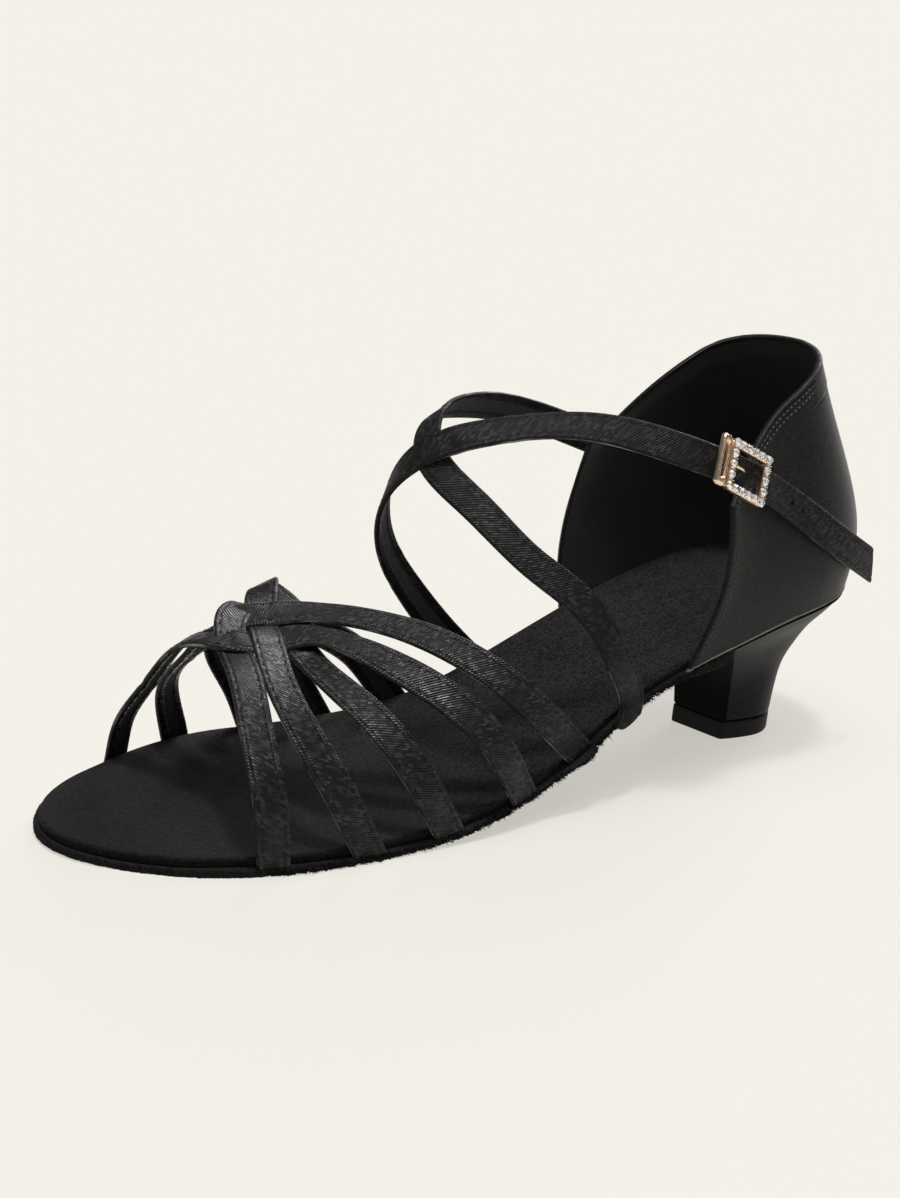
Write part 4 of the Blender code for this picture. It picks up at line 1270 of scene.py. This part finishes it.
def make_counter(cloths):
    """Closed shell round the heel: a wall with a rolled rim, pared down inside towards it.

    The middle of the wall is half a wall inside the outer face. Both faces lie half a wall from it, less
    where the wall ends: there the half thickness is the root of 1 - (1 - d / r) squared, a round lip.
    The rim is a flattened roll of its own width, with a groove behind it where it is sewn down.
    """
    half = COUNTER_WALL / 2.0
    turn, share = counter_grid()
    face = counter_face(turn, share)
    out = counter_out(turn, share)
    level = unit(out * [1.0, 1.0, 0.0])
    out = unit(out + (level - out) * (1.0 - eased(share / LEVEL_SHARE))[..., None])

    across = np.linalg.norm(np.diff(face, axis=1), axis=2)
    rise = np.linalg.norm(np.diff(face, axis=0), axis=2)
    from_outer = summed(across, 1)
    from_inner = summed(across[:, ::-1], 1)[:, ::-1]
    from_foot = summed(rise, 0)
    from_top = summed(rise[::-1], 0)[::-1]
    rim = np.minimum(np.minimum(from_outer, from_inner), from_top)
    nearest = np.minimum(rim, from_foot)

    thick = half * np.sqrt(1.0 - (1.0 - np.clip(nearest / LIP_ROUND, 0.0, 1.0)) ** 2)
    thick += LIP_BEAD * bell(from_foot - LIP_BEAD_AT, LIP_BEAD_HALF)
    roll = RIM_STEP * np.sqrt(np.clip(1.0 - (2.0 * rim / RIM_WIDTH - 1.0) ** 4, 0.0, 1.0))
    groove = RIM_GROOVE * bell(rim - RIM_WIDTH - RIM_GROOVE_AT, RIM_GROOVE_HALF)
    above = share - TAB_SHARE
    tab = SEAM_DEPTH * bell(above, SEAM_HALF) - TAB_STEP * eased(above / TAB_EASE)
    tab = tab * eased((TAB_REACH - np.abs(turn)) / TAB_FADE)
    skived = SKIVED + (1.0 - SKIVED) * eased(rim / SKIVE_RUN)
    face[..., 2] -= LIP_DROP * (1.0 - eased(share / LIP_DROP_SHARE))
    middle = face - out * half
    outside = middle + out * (thick + roll - groove - tab)[..., None]
    inside = middle - out * (skived * thick + INNER_ROLL * (roll - groove))[..., None]

    quads = quads_of(face)
    faces = np.concatenate([quads, quads[:, ::-1] + turn.size])
    uv = np.stack([from_outer, from_foot], -1)
    # the lowest band of faces takes the pale painted highlight
    cut = from_foot[:-1, :-1].ravel() < LIP_HIGHLIGHT
    lined = rim[:-1, :-1].ravel() > RIM_WIDTH
    make_piece("counter_shell", ["counter"], np.stack([outside, inside]), cloths, faces,
               np.stack([uv, uv]), np.concatenate([2 * cut, lined]))


def counter_stitches(distance):
    """Places and directions of the stitches along the rim, at a distance from its edge.

    The line runs up the outer front edge, along the top line and down the inner front edge.
    """
    up = np.linspace(SEAM_FOOT, 1.0 - distance / FRONT_HEIGHT, SEAM_SIDE_POINTS)
    front = 1.0 - distance / (WALL_LENGTH / 2.0)
    top = np.linspace(-front, front, SEAM_TOP_POINTS)
    turn = np.concatenate([np.full(len(up), -front), top, np.full(len(up), front)])
    wall = FRONT_HEIGHT + BACK_GAIN * (1.0 - np.abs(top))
    share = np.concatenate([up, 1.0 - distance / wall, up[::-1]])
    out = counter_out(turn, share)
    line = counter_face(turn, share) + out * COUNTER_PROUD
    travelled = lengths(line)
    at = np.arange(COUNTER_SEAM_END, travelled[-1] - COUNTER_SEAM_END, COUNTER_PITCH)
    run = np.gradient(line, axis=0)
    return np.stack([sampled(at, travelled, line), unit(sampled(at, travelled, run)),
                     unit(sampled(at, travelled, out))], 1)


# Straps

def knot_axes():
    """Directions of the knot: along the shoe, inwards, and out of the foot."""
    forward = unit(KNOT_FORWARD)
    inward = unit(KNOT_INWARD)
    out = unit(np.cross(inward, forward))
    return forward, inward, out * np.sign(out[2])


def knot_point(crossing):
    """Middle of a strap where it passes over or under another in the knot."""
    forward, inward, out = knot_axes()
    point = np.array(KNOT_CENTRE) + forward * (crossing.column * KNOT_FORWARD_PITCH)
    point = point + inward * (crossing.row * KNOT_INWARD_PITCH)
    return point + out * (crossing.layer * WEAVE_LIFT)


def foot_points(foot, near):
    """Two points of a strap's foot: below the insole, straight on from the strap, and beside it."""
    grow = -INSOLE_INSET + GAP + STRAP_THICK / 2.0
    plan = edge(place_of(foot.station, foot.side), grow)
    point = np.append(plan, insole_top(foot.station))
    return [point + unit(point - near[:3]) * STRAP_TUCK, point]


def wrap_points(foot):
    """Three points of a foot laid round the sole's edge: under the outsole, beside it and above it."""
    place = place_of(foot.station + WRAP_AHEAD, foot.side)
    plan = edge(place, WRAP_OUT)
    seat = insole_top(foot.station)
    return list(np.column_stack([plan, seat - WRAP_DOWN]))


def route_points(rows):
    """Evenly spaced middle line of a strap through its feet, bends and crossings, and its turn there."""
    points = []
    turns = []
    for i, row in enumerate(rows):
        if isinstance(row, Wrap):
            points += wrap_points(row)
            turns += [0.0, 0.0, 0.0]
        elif isinstance(row, Foot):
            pair = foot_points(row, rows[1] if i == 0 else rows[-2])
            points += pair if i == 0 else pair[::-1]
            turns += [0.0, 0.0]
        elif isinstance(row, Crossing):
            points.append(knot_point(row))
            turns.append(0.0)
        else:
            points.append(np.array(row[:3], float))
            turns.append(row.turn)
    points = np.array(points)
    chord = lengths(points)
    fine = np.linspace(0.0, chord[-1], FINE_STEPS)
    line = spline(chord, points, fine)
    run = lengths(line)
    even = np.linspace(0.0, run[-1], int(round(run[-1] / STRAP_STEP)) + 1)
    return even, sampled(even, run, line), np.interp(even, run, spline(chord, turns, fine))


def crown_rise(station):
    """Height of the last's crown above the insole."""
    return spline(table(CROWN, "station"), table(CROWN, "rise"), station)


def facing(points):
    """Outward direction of the last at points of a strap.

    The sides face straight out of the sole's edge, the crown faces up its own slope, and the knot has
    a plane of its own.
    """
    station, across, height = points.T
    side = np.where(across < 0.0, -1, 1)
    place = place_of(np.maximum(station, FACING_FROM), side)
    sideways = edge_normal(place)
    wide = np.abs(loop(place)[:, 1])
    rise = crown_rise(station)
    fall = rise + insole_top(station) - (crown_rise(station + 1.0) + insole_top(station + 1.0))
    up = np.clip((height - insole_top(station)) / rise, 0.0, None) ** (CROWN_POWER - 1.0) / rise
    out = (np.abs(across) / wide) ** (CROWN_POWER - 1.0) / wide
    crest = unit(np.column_stack([fall, np.zeros_like(fall), np.ones_like(fall)]))
    level = np.column_stack([sideways, np.zeros_like(fall)])
    normal = unit(level * out[:, None] + crest * up[:, None])
    away = np.linalg.norm(points - np.array(KNOT_CENTRE), axis=1)
    share = bell(away, KNOT_REACH)[:, None]
    return unit(normal * (1.0 - share) + knot_axes()[2] * share)


Band = namedtuple("Band", "along route run across out")


def strap_axes(rows):
    """Middle line of a strap with its directions: along, across the band, and out of its face."""
    along, route, turn = route_points(rows)
    run = unit(np.gradient(route, axis=0))
    level = unit(np.cross(run, facing(route)))
    rise = np.cross(level, run)
    turn = np.radians(turn)[:, None]
    across = level * np.cos(turn) - rise * np.sin(turn)
    return Band(along, route, run, across, rise * np.cos(turn) + level * np.sin(turn))


def strap_section(width):
    """Section of a strap: places across the band, heights of its outer face and of its lining face.

    The long edges are half rounds. The outer face is a little crowned and has a groove along each stitch
    line, and the lining face steps in between the folded borders.
    """
    half = width / 2.0
    radius = STRAP_THICK / 2.0
    turn = np.linspace(0.0, np.pi / 2.0, STRAP_EDGE_POINTS)
    flat = np.linspace(half - radius, radius - half, STRAP_FACE_POINTS)[1:-1]
    round_edge = half - radius + radius * np.cos(turn)
    wide = np.concatenate([round_edge, flat, -round_edge[::-1]])
    rise = radius * np.sin(turn)
    bare = np.concatenate([rise, np.full(len(flat), radius), rise[::-1]])
    inside = half - np.abs(wide)
    groove = GROOVE * bell(inside - SEAM_INSET, GROOVE_HALF)
    outer = bare * (1.0 - STRAP_CROWN * (wide / half) ** 2) - groove
    lining = LINING_STEP * eased((inside - FOLD_WIDTH) / LINING_EASE) - bare
    return wide, outer, lining


def first_above(level):
    """Row number, with its fraction, where each column of levels first rises above zero."""
    first = np.argmax(level > 0.0, axis=0)
    before = np.maximum(first - 1, 0)
    low = np.take_along_axis(level, before[None], 0)[0]
    high = np.take_along_axis(level, first[None], 0)[0]
    return before + np.clip(-low / np.maximum(high - low, TINY), 0.0, 1.0)


def row_shares(count, length, holes):
    """Shares of a strap's rows: even, but closer near its punched holes."""
    fine = np.linspace(0.0, length, 4 * count)
    weight = np.ones_like(fine)
    for hole in holes:
        weight += HOLE_ROWS * (np.abs(fine - hole) < HOLE_NEAR * HOLE_RADIUS)
    total = np.concatenate([[0.0], np.cumsum((weight[1:] + weight[:-1]) / 2.0)])
    rows = int(count * total[-1] / (len(fine) - 1))
    return np.interp(np.linspace(0.0, total[-1], rows), total, fine) / length


def crease_fall(name, band, across):
    """Fall of a band's faces along its creases: a bell curve, less a low and broader one beside it."""
    fall = np.zeros((len(band.along), len(across)))
    for crease in CREASES:
        if crease.strap == name:
            distance = band.along[:, None] - crease.share * band.along[-1] - crease.slant * across
            swell = CREASE_SWELL * crease.depth * bell(distance, CREASE_SPREAD * crease.half)
            fall += crease.depth * bell(distance, crease.half) - swell
    return fall


def hole_fall(holes, band, across):
    """Fall of a band's outer face at its punched holes: round pits with a raised rim."""
    fall = np.zeros((len(band.along), len(across)))
    for hole in holes:
        away = np.hypot(band.along[:, None] - hole, across)
        rim = HOLE_RIM * bell(away - HOLE_RADIUS - HOLE_RIM_AT, HOLE_RIM_HALF)
        fall += HOLE_DEPTH * eased((HOLE_RADIUS - away) / HOLE_EASE) - rim
    return fall


def strap_ends(rows, grid, share_across):
    """Row numbers where each line of a band comes out of the sole and where it goes in again."""
    level = grid[..., 2] - seat_top(grid[..., 0]) - SEAT_CLEAR
    start = np.zeros(grid.shape[1])
    stop = np.zeros(grid.shape[1])
    if isinstance(rows[0], Foot):
        start = first_above(level)
    elif isinstance(rows[0], Wrap):
        hem = WRAP_UNDER - WRAP_ROUND * np.clip(share_across, 0.0, 1.0) ** 2
        start = first_above(level + outsole_thick(grid[..., 0]) + hem)
    if isinstance(rows[-1], Foot):
        stop = first_above(level[::-1])
    return start, len(grid) - 1 - stop


def make_strap(name, rows, width, cloths, node, tail=False):
    """Band whose section is carried along its route, creased, and trimmed where it meets the sole.

    Each line of the band runs from where it comes out of the sole to where it goes in again. The ends
    are closed by drawing the two faces to their middle. A loose tail is sheared to its slanted cut, and
    its punched holes are pits in the outer face.
    """
    band = strap_axes(rows)
    half = width / 2.0
    length = band.along[-1]
    wide, outer, under = strap_section(width)
    across = np.concatenate([wide, wide[::-1][1:]])
    high = np.concatenate([outer, under[::-1][1:]])
    outer_side = np.arange(len(across)) < len(wide)
    holes = [length - hole for hole in TAIL_HOLES] if tail else []
    pits = np.where(outer_side, hole_fall(holes, band, across), 0.0)
    lift = high - crease_fall(name, band, across) - pits
    grid = band.route[:, None] + band.across[:, None] * across[:, None]
    grid = grid + band.out[:, None] * lift[..., None]
    if tail:
        shear = eased((band.along - length + TAIL_RUN) / TAIL_RUN)[:, None] * across / half
        grid += band.run[:, None] * (TAIL_SLANT * shear)[..., None]

    start, stop = strap_ends(rows, grid, across / half)
    share = row_shares(int(length / STRAP_ROW), length, holes)
    row = start + (stop - start) * share[:, None]
    lower = np.clip(np.floor(row).astype(int), 0, len(grid) - 2)
    part = (row - lower)[..., None]
    column = np.arange(len(across))
    grid = grid[lower, column] * (1.0 - part) + grid[lower + 1, column] * part
    ends = [(grid[i] + grid[i][::-1])[None] / 2.0 for i in (0, -1)]
    grid = np.concatenate([ends[0], grid, ends[1]])

    girth = lengths(np.column_stack([across, high]))
    uv = np.stack(np.broadcast_arrays(row * STRAP_STEP, girth), -1)
    uv = np.concatenate([uv[:1], uv, uv[-1:]])
    lined = ~outer_side & (np.abs(across) < half - FOLD_WIDTH)
    # faces at the very edge take the pale painted highlight
    bare = np.abs(across) > half - EDGE_HIGHLIGHT_WIDTH
    kinds = np.tile((lined[:-1] & lined[1:]) + 2 * (bare[:-1] & bare[1:]), len(grid) - 1)
    make_piece(f"strap_{name}", [node], grid, cloths, uv=uv, kinds=kinds)
    return band


def strap_stitches(band, width):
    """Places and directions of the stitches along both edges of a strap, clear of the sole."""
    wide, outer, _ = strap_section(width)
    at = np.arange(STITCH_PITCH, band.along[-1] - STITCH_PITCH, STITCH_PITCH)
    rows = []
    for line in (-1.0, 1.0):
        place = line * (width / 2.0 - SEAM_INSET)
        high = np.interp(-place, -wide, outer) + STITCH_PROUD
        centre = sampled(at, band.along, band.route + band.across * place + band.out * high)
        clear = centre[:, 2] > seat_top(centre[:, 0]) + STITCH_PITCH
        run, out = unit(sampled(at, band.along, band.run)), unit(sampled(at, band.along, band.out))
        rows.append(np.stack([centre, run, out], 1)[clear])
    return np.concatenate(rows)


def make_stitches(name, rows, colour, size, pitch):
    """Sewn stitches: short rounded threads that dip into the cloth at both ends.

    Along a stitch the radius follows the root of 1 - t to the fourth, and the height falls by t squared.
    """
    centre, run, out = rows[:, 0], rows[:, 1], rows[:, 2]
    along = np.linspace(-1.0, 1.0, STITCH_RINGS)
    radius = size * np.sqrt(np.clip(1.0 - along ** 4, 0.02, 1.0))
    spine = centre[:, None] + run[:, None] * (along[:, None] * STITCH_SHARE * pitch / 2.0)
    spine = spine - out[:, None] * (size * STITCH_DIP * along[:, None] ** 2)
    points = tubes(spine, np.cross(run, out), out, radius, STITCH_SIDES)
    make_piece(name, [], points, [colour])


# Buckle

def rounded_rectangle(length, width, corner, points=9):
    """Closed outline with round corners: four quarter circles joined by straight sides."""
    turn = np.linspace(0.0, np.pi / 2.0, points)
    angle = (np.arange(4)[:, None] * np.pi / 2.0 + turn).ravel()
    sign = np.repeat([(1, 1), (-1, 1), (-1, -1), (1, -1)], points, 0)
    middle = sign * np.array([length / 2.0 - corner, width / 2.0 - corner])
    return middle + corner * np.column_stack([np.cos(angle), np.sin(angle)])


def plate_grid(outer, inner, thick, crown):
    """Ring of metal between two outlines: its section runs up the inner side, over the top and down.

    Across the top the height is the thickness less the crown times the fourth power of the place from
    the middle, and the section is closed along the underside.
    """
    over = np.linspace(0.0, 1.0, PLATE_POINTS)
    across = np.concatenate([[0.0], over, [1.0, 0.5, 0.0]])
    height = np.concatenate([[0.0], thick - crown * np.abs(2.0 * over - 1.0) ** 4, [0.0, 0.0, 0.0]])
    plan = inner + (outer - inner) * across[:, None, None]
    grid = np.concatenate([plan, np.broadcast_to(height[:, None, None], (*plan.shape[:2], 1))], -1)
    return np.concatenate([grid, grid[:, :1]], 1)


def make_buckle(gold, glass, band):
    """Oblong frame, slotted keeper, prong, and the ring of stones in their claws."""
    seat = (on_last(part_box("buckle_frame")[0]) + on_last(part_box("buckle_frame")[1])) / 2.0
    i = int(np.argmin(np.linalg.norm(band.route - seat, axis=1)))
    skew = np.radians(BUCKLE_SKEW)
    along = band.run[i] * np.cos(skew) - band.across[i] * np.sin(skew)
    above = band.across[i] * np.cos(skew) + band.run[i] * np.sin(skew)
    axes = np.stack([along, above, band.out[i]])
    centre = seat - axes[2] * (FRAME_THICK / 2.0)

    def set_on(points):
        """Points of the buckle's own axes, set on the strap."""
        return centre + points @ axes

    bars = 2.0 * FRAME_BAR
    window = rounded_rectangle(FRAME_LENGTH - bars, FRAME_WIDTH - bars, WINDOW_CORNER)
    outline = rounded_rectangle(FRAME_LENGTH, FRAME_WIDTH, FRAME_CORNER)
    plate = plate_grid(outline, window, FRAME_THICK, FRAME_CROWN)
    make_piece("buckle_square", ["buckle_frame"], set_on(plate), [gold], sharp=METAL_SHARP)

    slot = rounded_rectangle(KEEPER_SLOT, FRAME_WIDTH - 2.0 * KEEPER_END, SLOT_CORNER)
    outline = rounded_rectangle(KEEPER_LENGTH, FRAME_WIDTH, KEEPER_CORNER)
    plate = plate_grid(outline, slot, KEEPER_THICK, KEEPER_CROWN)
    plate = plate + np.array([-(FRAME_LENGTH + KEEPER_LENGTH) / 2.0 - GAP, 0.0, 0.0])
    make_piece("buckle_bracket", ["buckle_keeper"], set_on(plate), [gold], sharp=METAL_SHARP)
    make_prong(gold, set_on)
    make_stones(gold, glass, set_on)


def make_prong(gold, set_on):
    """Tapered pin from the bar on the instep side: it rises in an arc and its point dips into the strap.

    Along the pin the radius falls by half, and the height follows half a sine wave less a slope.
    """
    share = np.linspace(0.0, 1.0, PRONG_RINGS)[:, None]
    angle = circle(PRONG_SIDES)
    radius = PRONG_RADIUS * (1.0 - PRONG_TAPER * share) * np.sqrt(np.clip(1.0 - share ** 12, 0.01, 1.0))
    root = FRAME_BAR - FRAME_LENGTH / 2.0 - PRONG_OVERLAP
    height = PRONG_HEIGHT + PRONG_ARCH * np.sin(np.pi * share) - PRONG_DIP * share
    points = np.stack(np.broadcast_arrays(root + PRONG_LENGTH * share, radius * np.cos(angle),
                                          height + radius * np.sin(angle)), -1)
    make_piece("buckle_pin", ["buckle_prong"], set_on(capped(points)), [gold])


def make_stones(gold, glass, set_on):
    """Round brilliants on the frame: a table, eight star facets, a crown down to the girdle, and a base.

    Every ring of a stone has sixteen corners. On the two upper ones each second corner is drawn to the
    line between its neighbours, so that the crown shows kites and not a cone.
    """
    reach = np.array([FRAME_LENGTH - FRAME_BAR, FRAME_WIDTH - FRAME_BAR]) / 2.0
    x, y = np.meshgrid(np.linspace(-reach[0], reach[0], STONES_ALONG),
                       np.linspace(-reach[1], reach[1], STONES_ACROSS))
    border = (np.abs(x) > reach[0] - 0.1) | (np.abs(y) > reach[1] - 0.1)
    seats = np.column_stack([x[border], y[border], np.full(border.sum(), FRAME_THICK - STONE_SUNK)])
    angle = circle(STONE_SIDES)
    number = np.arange(len(angle))
    drawn = np.cos(2.0 * np.pi / STONE_SIDES)
    corners = {"all": np.ones(len(angle)), "even": np.where(number % 2 == 0, 1.0, drawn),
               "odd": np.where(number % 2 == 1, 1.0, drawn)}
    ring = np.column_stack([np.cos(angle), np.sin(angle)])
    stone = np.stack([np.column_stack([ring * (STONE_RADIUS * cut.wide * corners[cut.corners])[:, None],
                                       np.full(len(angle), STONE_HEIGHT * cut.high)])
                      for cut in STONE_CUTS])
    nodes = [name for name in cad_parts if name.startswith("buckle_stone")]
    points = set_on(seats[:, None, None] + stone)
    make_piece("buckle_stones", nodes, points, [glass], sharp=STONE_SHARP)
    make_claws(gold, seats, 2.0 * reach[0] / (STONES_ALONG - 1), set_on)


def make_claws(gold, seats, pitch, set_on):
    """Claws that hold the stones: two tall beads on either side of the line between neighbours."""
    step = seats[:, None] - seats[None]
    apart = np.linalg.norm(step, axis=-1)
    near = np.triu((apart > 0.1) & (apart < 1.2 * pitch))
    middle = ((seats[:, None] + seats[None]) / 2.0)[near]
    step = step[near]
    aside = unit(np.column_stack([-step[:, 1], step[:, 0], np.zeros(len(step))])) * CLAW_ASIDE
    claws = np.concatenate([middle + aside, middle - aside]) + [0.0, 0.0, CLAW_RISE]
    polar = np.linspace(0.0, np.pi, CLAW_RINGS)[:, None]
    turn = circle(CLAW_SIDES)
    bead = np.stack(np.broadcast_arrays(np.sin(polar) * np.cos(turn), np.sin(polar) * np.sin(turn),
                                        CLAW_TALL * np.cos(polar)), -1) * CLAW_RADIUS
    make_piece("buckle_claws", [], set_on(claws[:, None, None] + bead), [gold])


# Studio

def make_stage(name, points, finish):
    """Object of the studio, in metres, which is no part of the shoe."""
    mesh = bpy.data.meshes.new(name)
    mesh.from_pydata(points.reshape(-1, 3).tolist(), [], quads_of(points).tolist())
    mesh.materials.append(finish.material)
    item = bpy.data.objects.new(name, mesh)
    bpy.context.scene.collection.objects.link(item)
    return item


def make_floor():
    """Plain pale floor, wide enough to fill the view."""
    x, y = np.meshgrid([-FLOOR_REACH, FLOOR_REACH], [-FLOOR_REACH, FLOOR_REACH])
    finish = Finish("pale_floor", FLOOR_COLOUR, 0.8, specular_ior_level=0.0,
                    emission_color=(*FLOOR_GLOW, 1.0), emission_strength=1.0)
    make_stage("floor", np.stack([x, y, np.zeros_like(x)], -1), finish)


def make_backdrop():
    """Pale wall round the far edge of the floor: a ring of upright faces.

    The camera sees it, and it lights nothing.
    """
    turn, height = np.meshgrid(circle(BACKDROP_SIDES), [0.0, BACKDROP_HEIGHT])
    points = np.stack([BACKDROP_RADIUS * np.cos(turn), BACKDROP_RADIUS * np.sin(turn), height], -1)
    finish = Finish("pale_backdrop", (0.0, 0.0, 0.0), 1.0, specular_ior_level=0.0,
                    emission_color=(*BACKDROP_GLOW, 1.0), emission_strength=1.0)
    item = make_stage("backdrop", points, finish)
    item.visible_diffuse = False
    item.visible_glossy = False
    item.visible_transmission = False
    item.visible_shadow = False


def make_light(row):
    """Soft far light from an azimuth about the shoe and a height, with a wide disc."""
    light = bpy.data.lights.new(row.name, "SUN")
    light.energy = row.strength
    light.angle = np.radians(row.spread)
    item = bpy.data.objects.new(row.name, light)
    item.rotation_euler = (np.radians(90.0 - row.rise), 0.0, np.radians(row.azimuth))
    bpy.context.scene.collection.objects.link(item)


def make_studio():
    """Even white surroundings, a small and a broad light from above, and a low one on the counter."""
    world = bpy.data.worlds.new("studio")
    bpy.context.scene.world = world
    world.use_nodes = True
    background = world.node_tree.nodes["Background"]
    background.inputs["Color"].default_value = WORLD_COLOUR
    background.inputs["Strength"].default_value = WORLD_STRENGTH
    for row in LIGHTS:
        make_light(row)
    bpy.context.scene.view_settings.view_transform = "Standard"


def make_camera():
    """Camera at the photo's angle: it looks along a turned, raised line at the target, and is rolled."""
    turn, rise, roll = np.radians([CAMERA_TURN, CAMERA_RISE, CAMERA_ROLL])
    back = np.array([np.sin(turn) * np.cos(rise), -np.cos(turn) * np.cos(rise), np.sin(rise)])
    level = np.array([np.cos(turn), np.sin(turn), 0.0])
    up = np.cross(back, level)
    right = np.cos(roll) * level + np.sin(roll) * up
    top = np.cos(roll) * up - np.sin(roll) * level
    place = (np.array(CAMERA_TARGET) + CAMERA_DISTANCE * back) * MM
    camera = bpy.data.cameras.new("camera")
    camera.sensor_width = SENSOR
    camera.lens = FOCAL_PIXELS / IMAGE_HEIGHT * SENSOR
    camera.clip_start = CLIP_START
    item = bpy.data.objects.new("camera", camera)
    axes = np.eye(4)
    axes[:3] = np.column_stack([right, top, back, place])
    item.matrix_world = Matrix(axes.tolist())
    bpy.context.scene.collection.objects.link(item)
    bpy.context.scene.camera = item


def make_straps(thread_black):
    """All straps with their stitches; gives the middle lines of the two instep straps."""
    linings = [lining_cloth(), pale_edge_highlight()]
    vamp = [strap_satin("vamp_satin", gloss=0.2, smooth=0.22, dull=0.45, glint=0.06), *linings]
    # the instep straps are a shaded copy of the same satin: weaker painted glints and less gloss
    instep = [strap_satin("instep_satin", gloss=0.16, smooth=0.42, dull=0.6, glint=0.034), *linings]
    rows = []
    for name, route in VAMP.items():
        band = make_strap(name, route, STRAP_WIDTH, vamp, "vamp_straps")
        rows.append(strap_stitches(band, STRAP_WIDTH))
    bands = {}
    for name, route in INSTEP.items():
        tail = name == "buckled"
        bands[name] = make_strap(name, route, INSTEP_WIDTH, instep, "instep_straps", tail)
        rows.append(strap_stitches(bands[name], INSTEP_WIDTH))
    make_stitches("strap_stitches", np.concatenate(rows), thread_black, STITCH_RADIUS, STITCH_PITCH)
    return bands


def main():
    """Dresses every piece of the shoe and sets the studio round it."""
    tread = suede("tread_suede", dark=(0.003, 0.003, 0.003), light=(0.013, 0.0125, 0.012))
    # the sock's tread paints shade at its toe and light at its seat
    make_insole(suede("sock_suede", dark=(0.002, 0.0018, 0.0018), light=(0.0195, 0.0178, 0.0171),
                      tread=(0.46, 1.2)))
    make_outsole(tread)
    make_fibres(tread)
    make_heel_block(smooth_satin("heel_satin", gloss=0.1, sheen=0.015, border=HEEL_SHADE_WRAP), breast_painted_shade())
    make_heel_tip(rubber())
    counter_satin = smooth_satin("counter_satin", gloss=0.2, sheen=0.12, border=NO_BORDER)
    make_counter([counter_satin, counter_lining(), lower_edge_highlight()])
    bands = make_straps(thread("black_thread", (0.016, 0.016, 0.0165)))
    seams = np.concatenate([counter_stitches(distance) for distance in COUNTER_SEAMS])
    # the counter's black thread with grey patches: painted highlights
    highlit_thread = thread("counter_thread_highlight", (0.16, 0.157, 0.152))
    make_stitches("counter_stitches", seams, highlit_thread, COUNTER_STITCH, COUNTER_PITCH)
    make_buckle(rose_gold(), clear_stone(), bands["buckled"])
    make_floor()
    make_backdrop()
    make_studio()
    make_camera()


main()
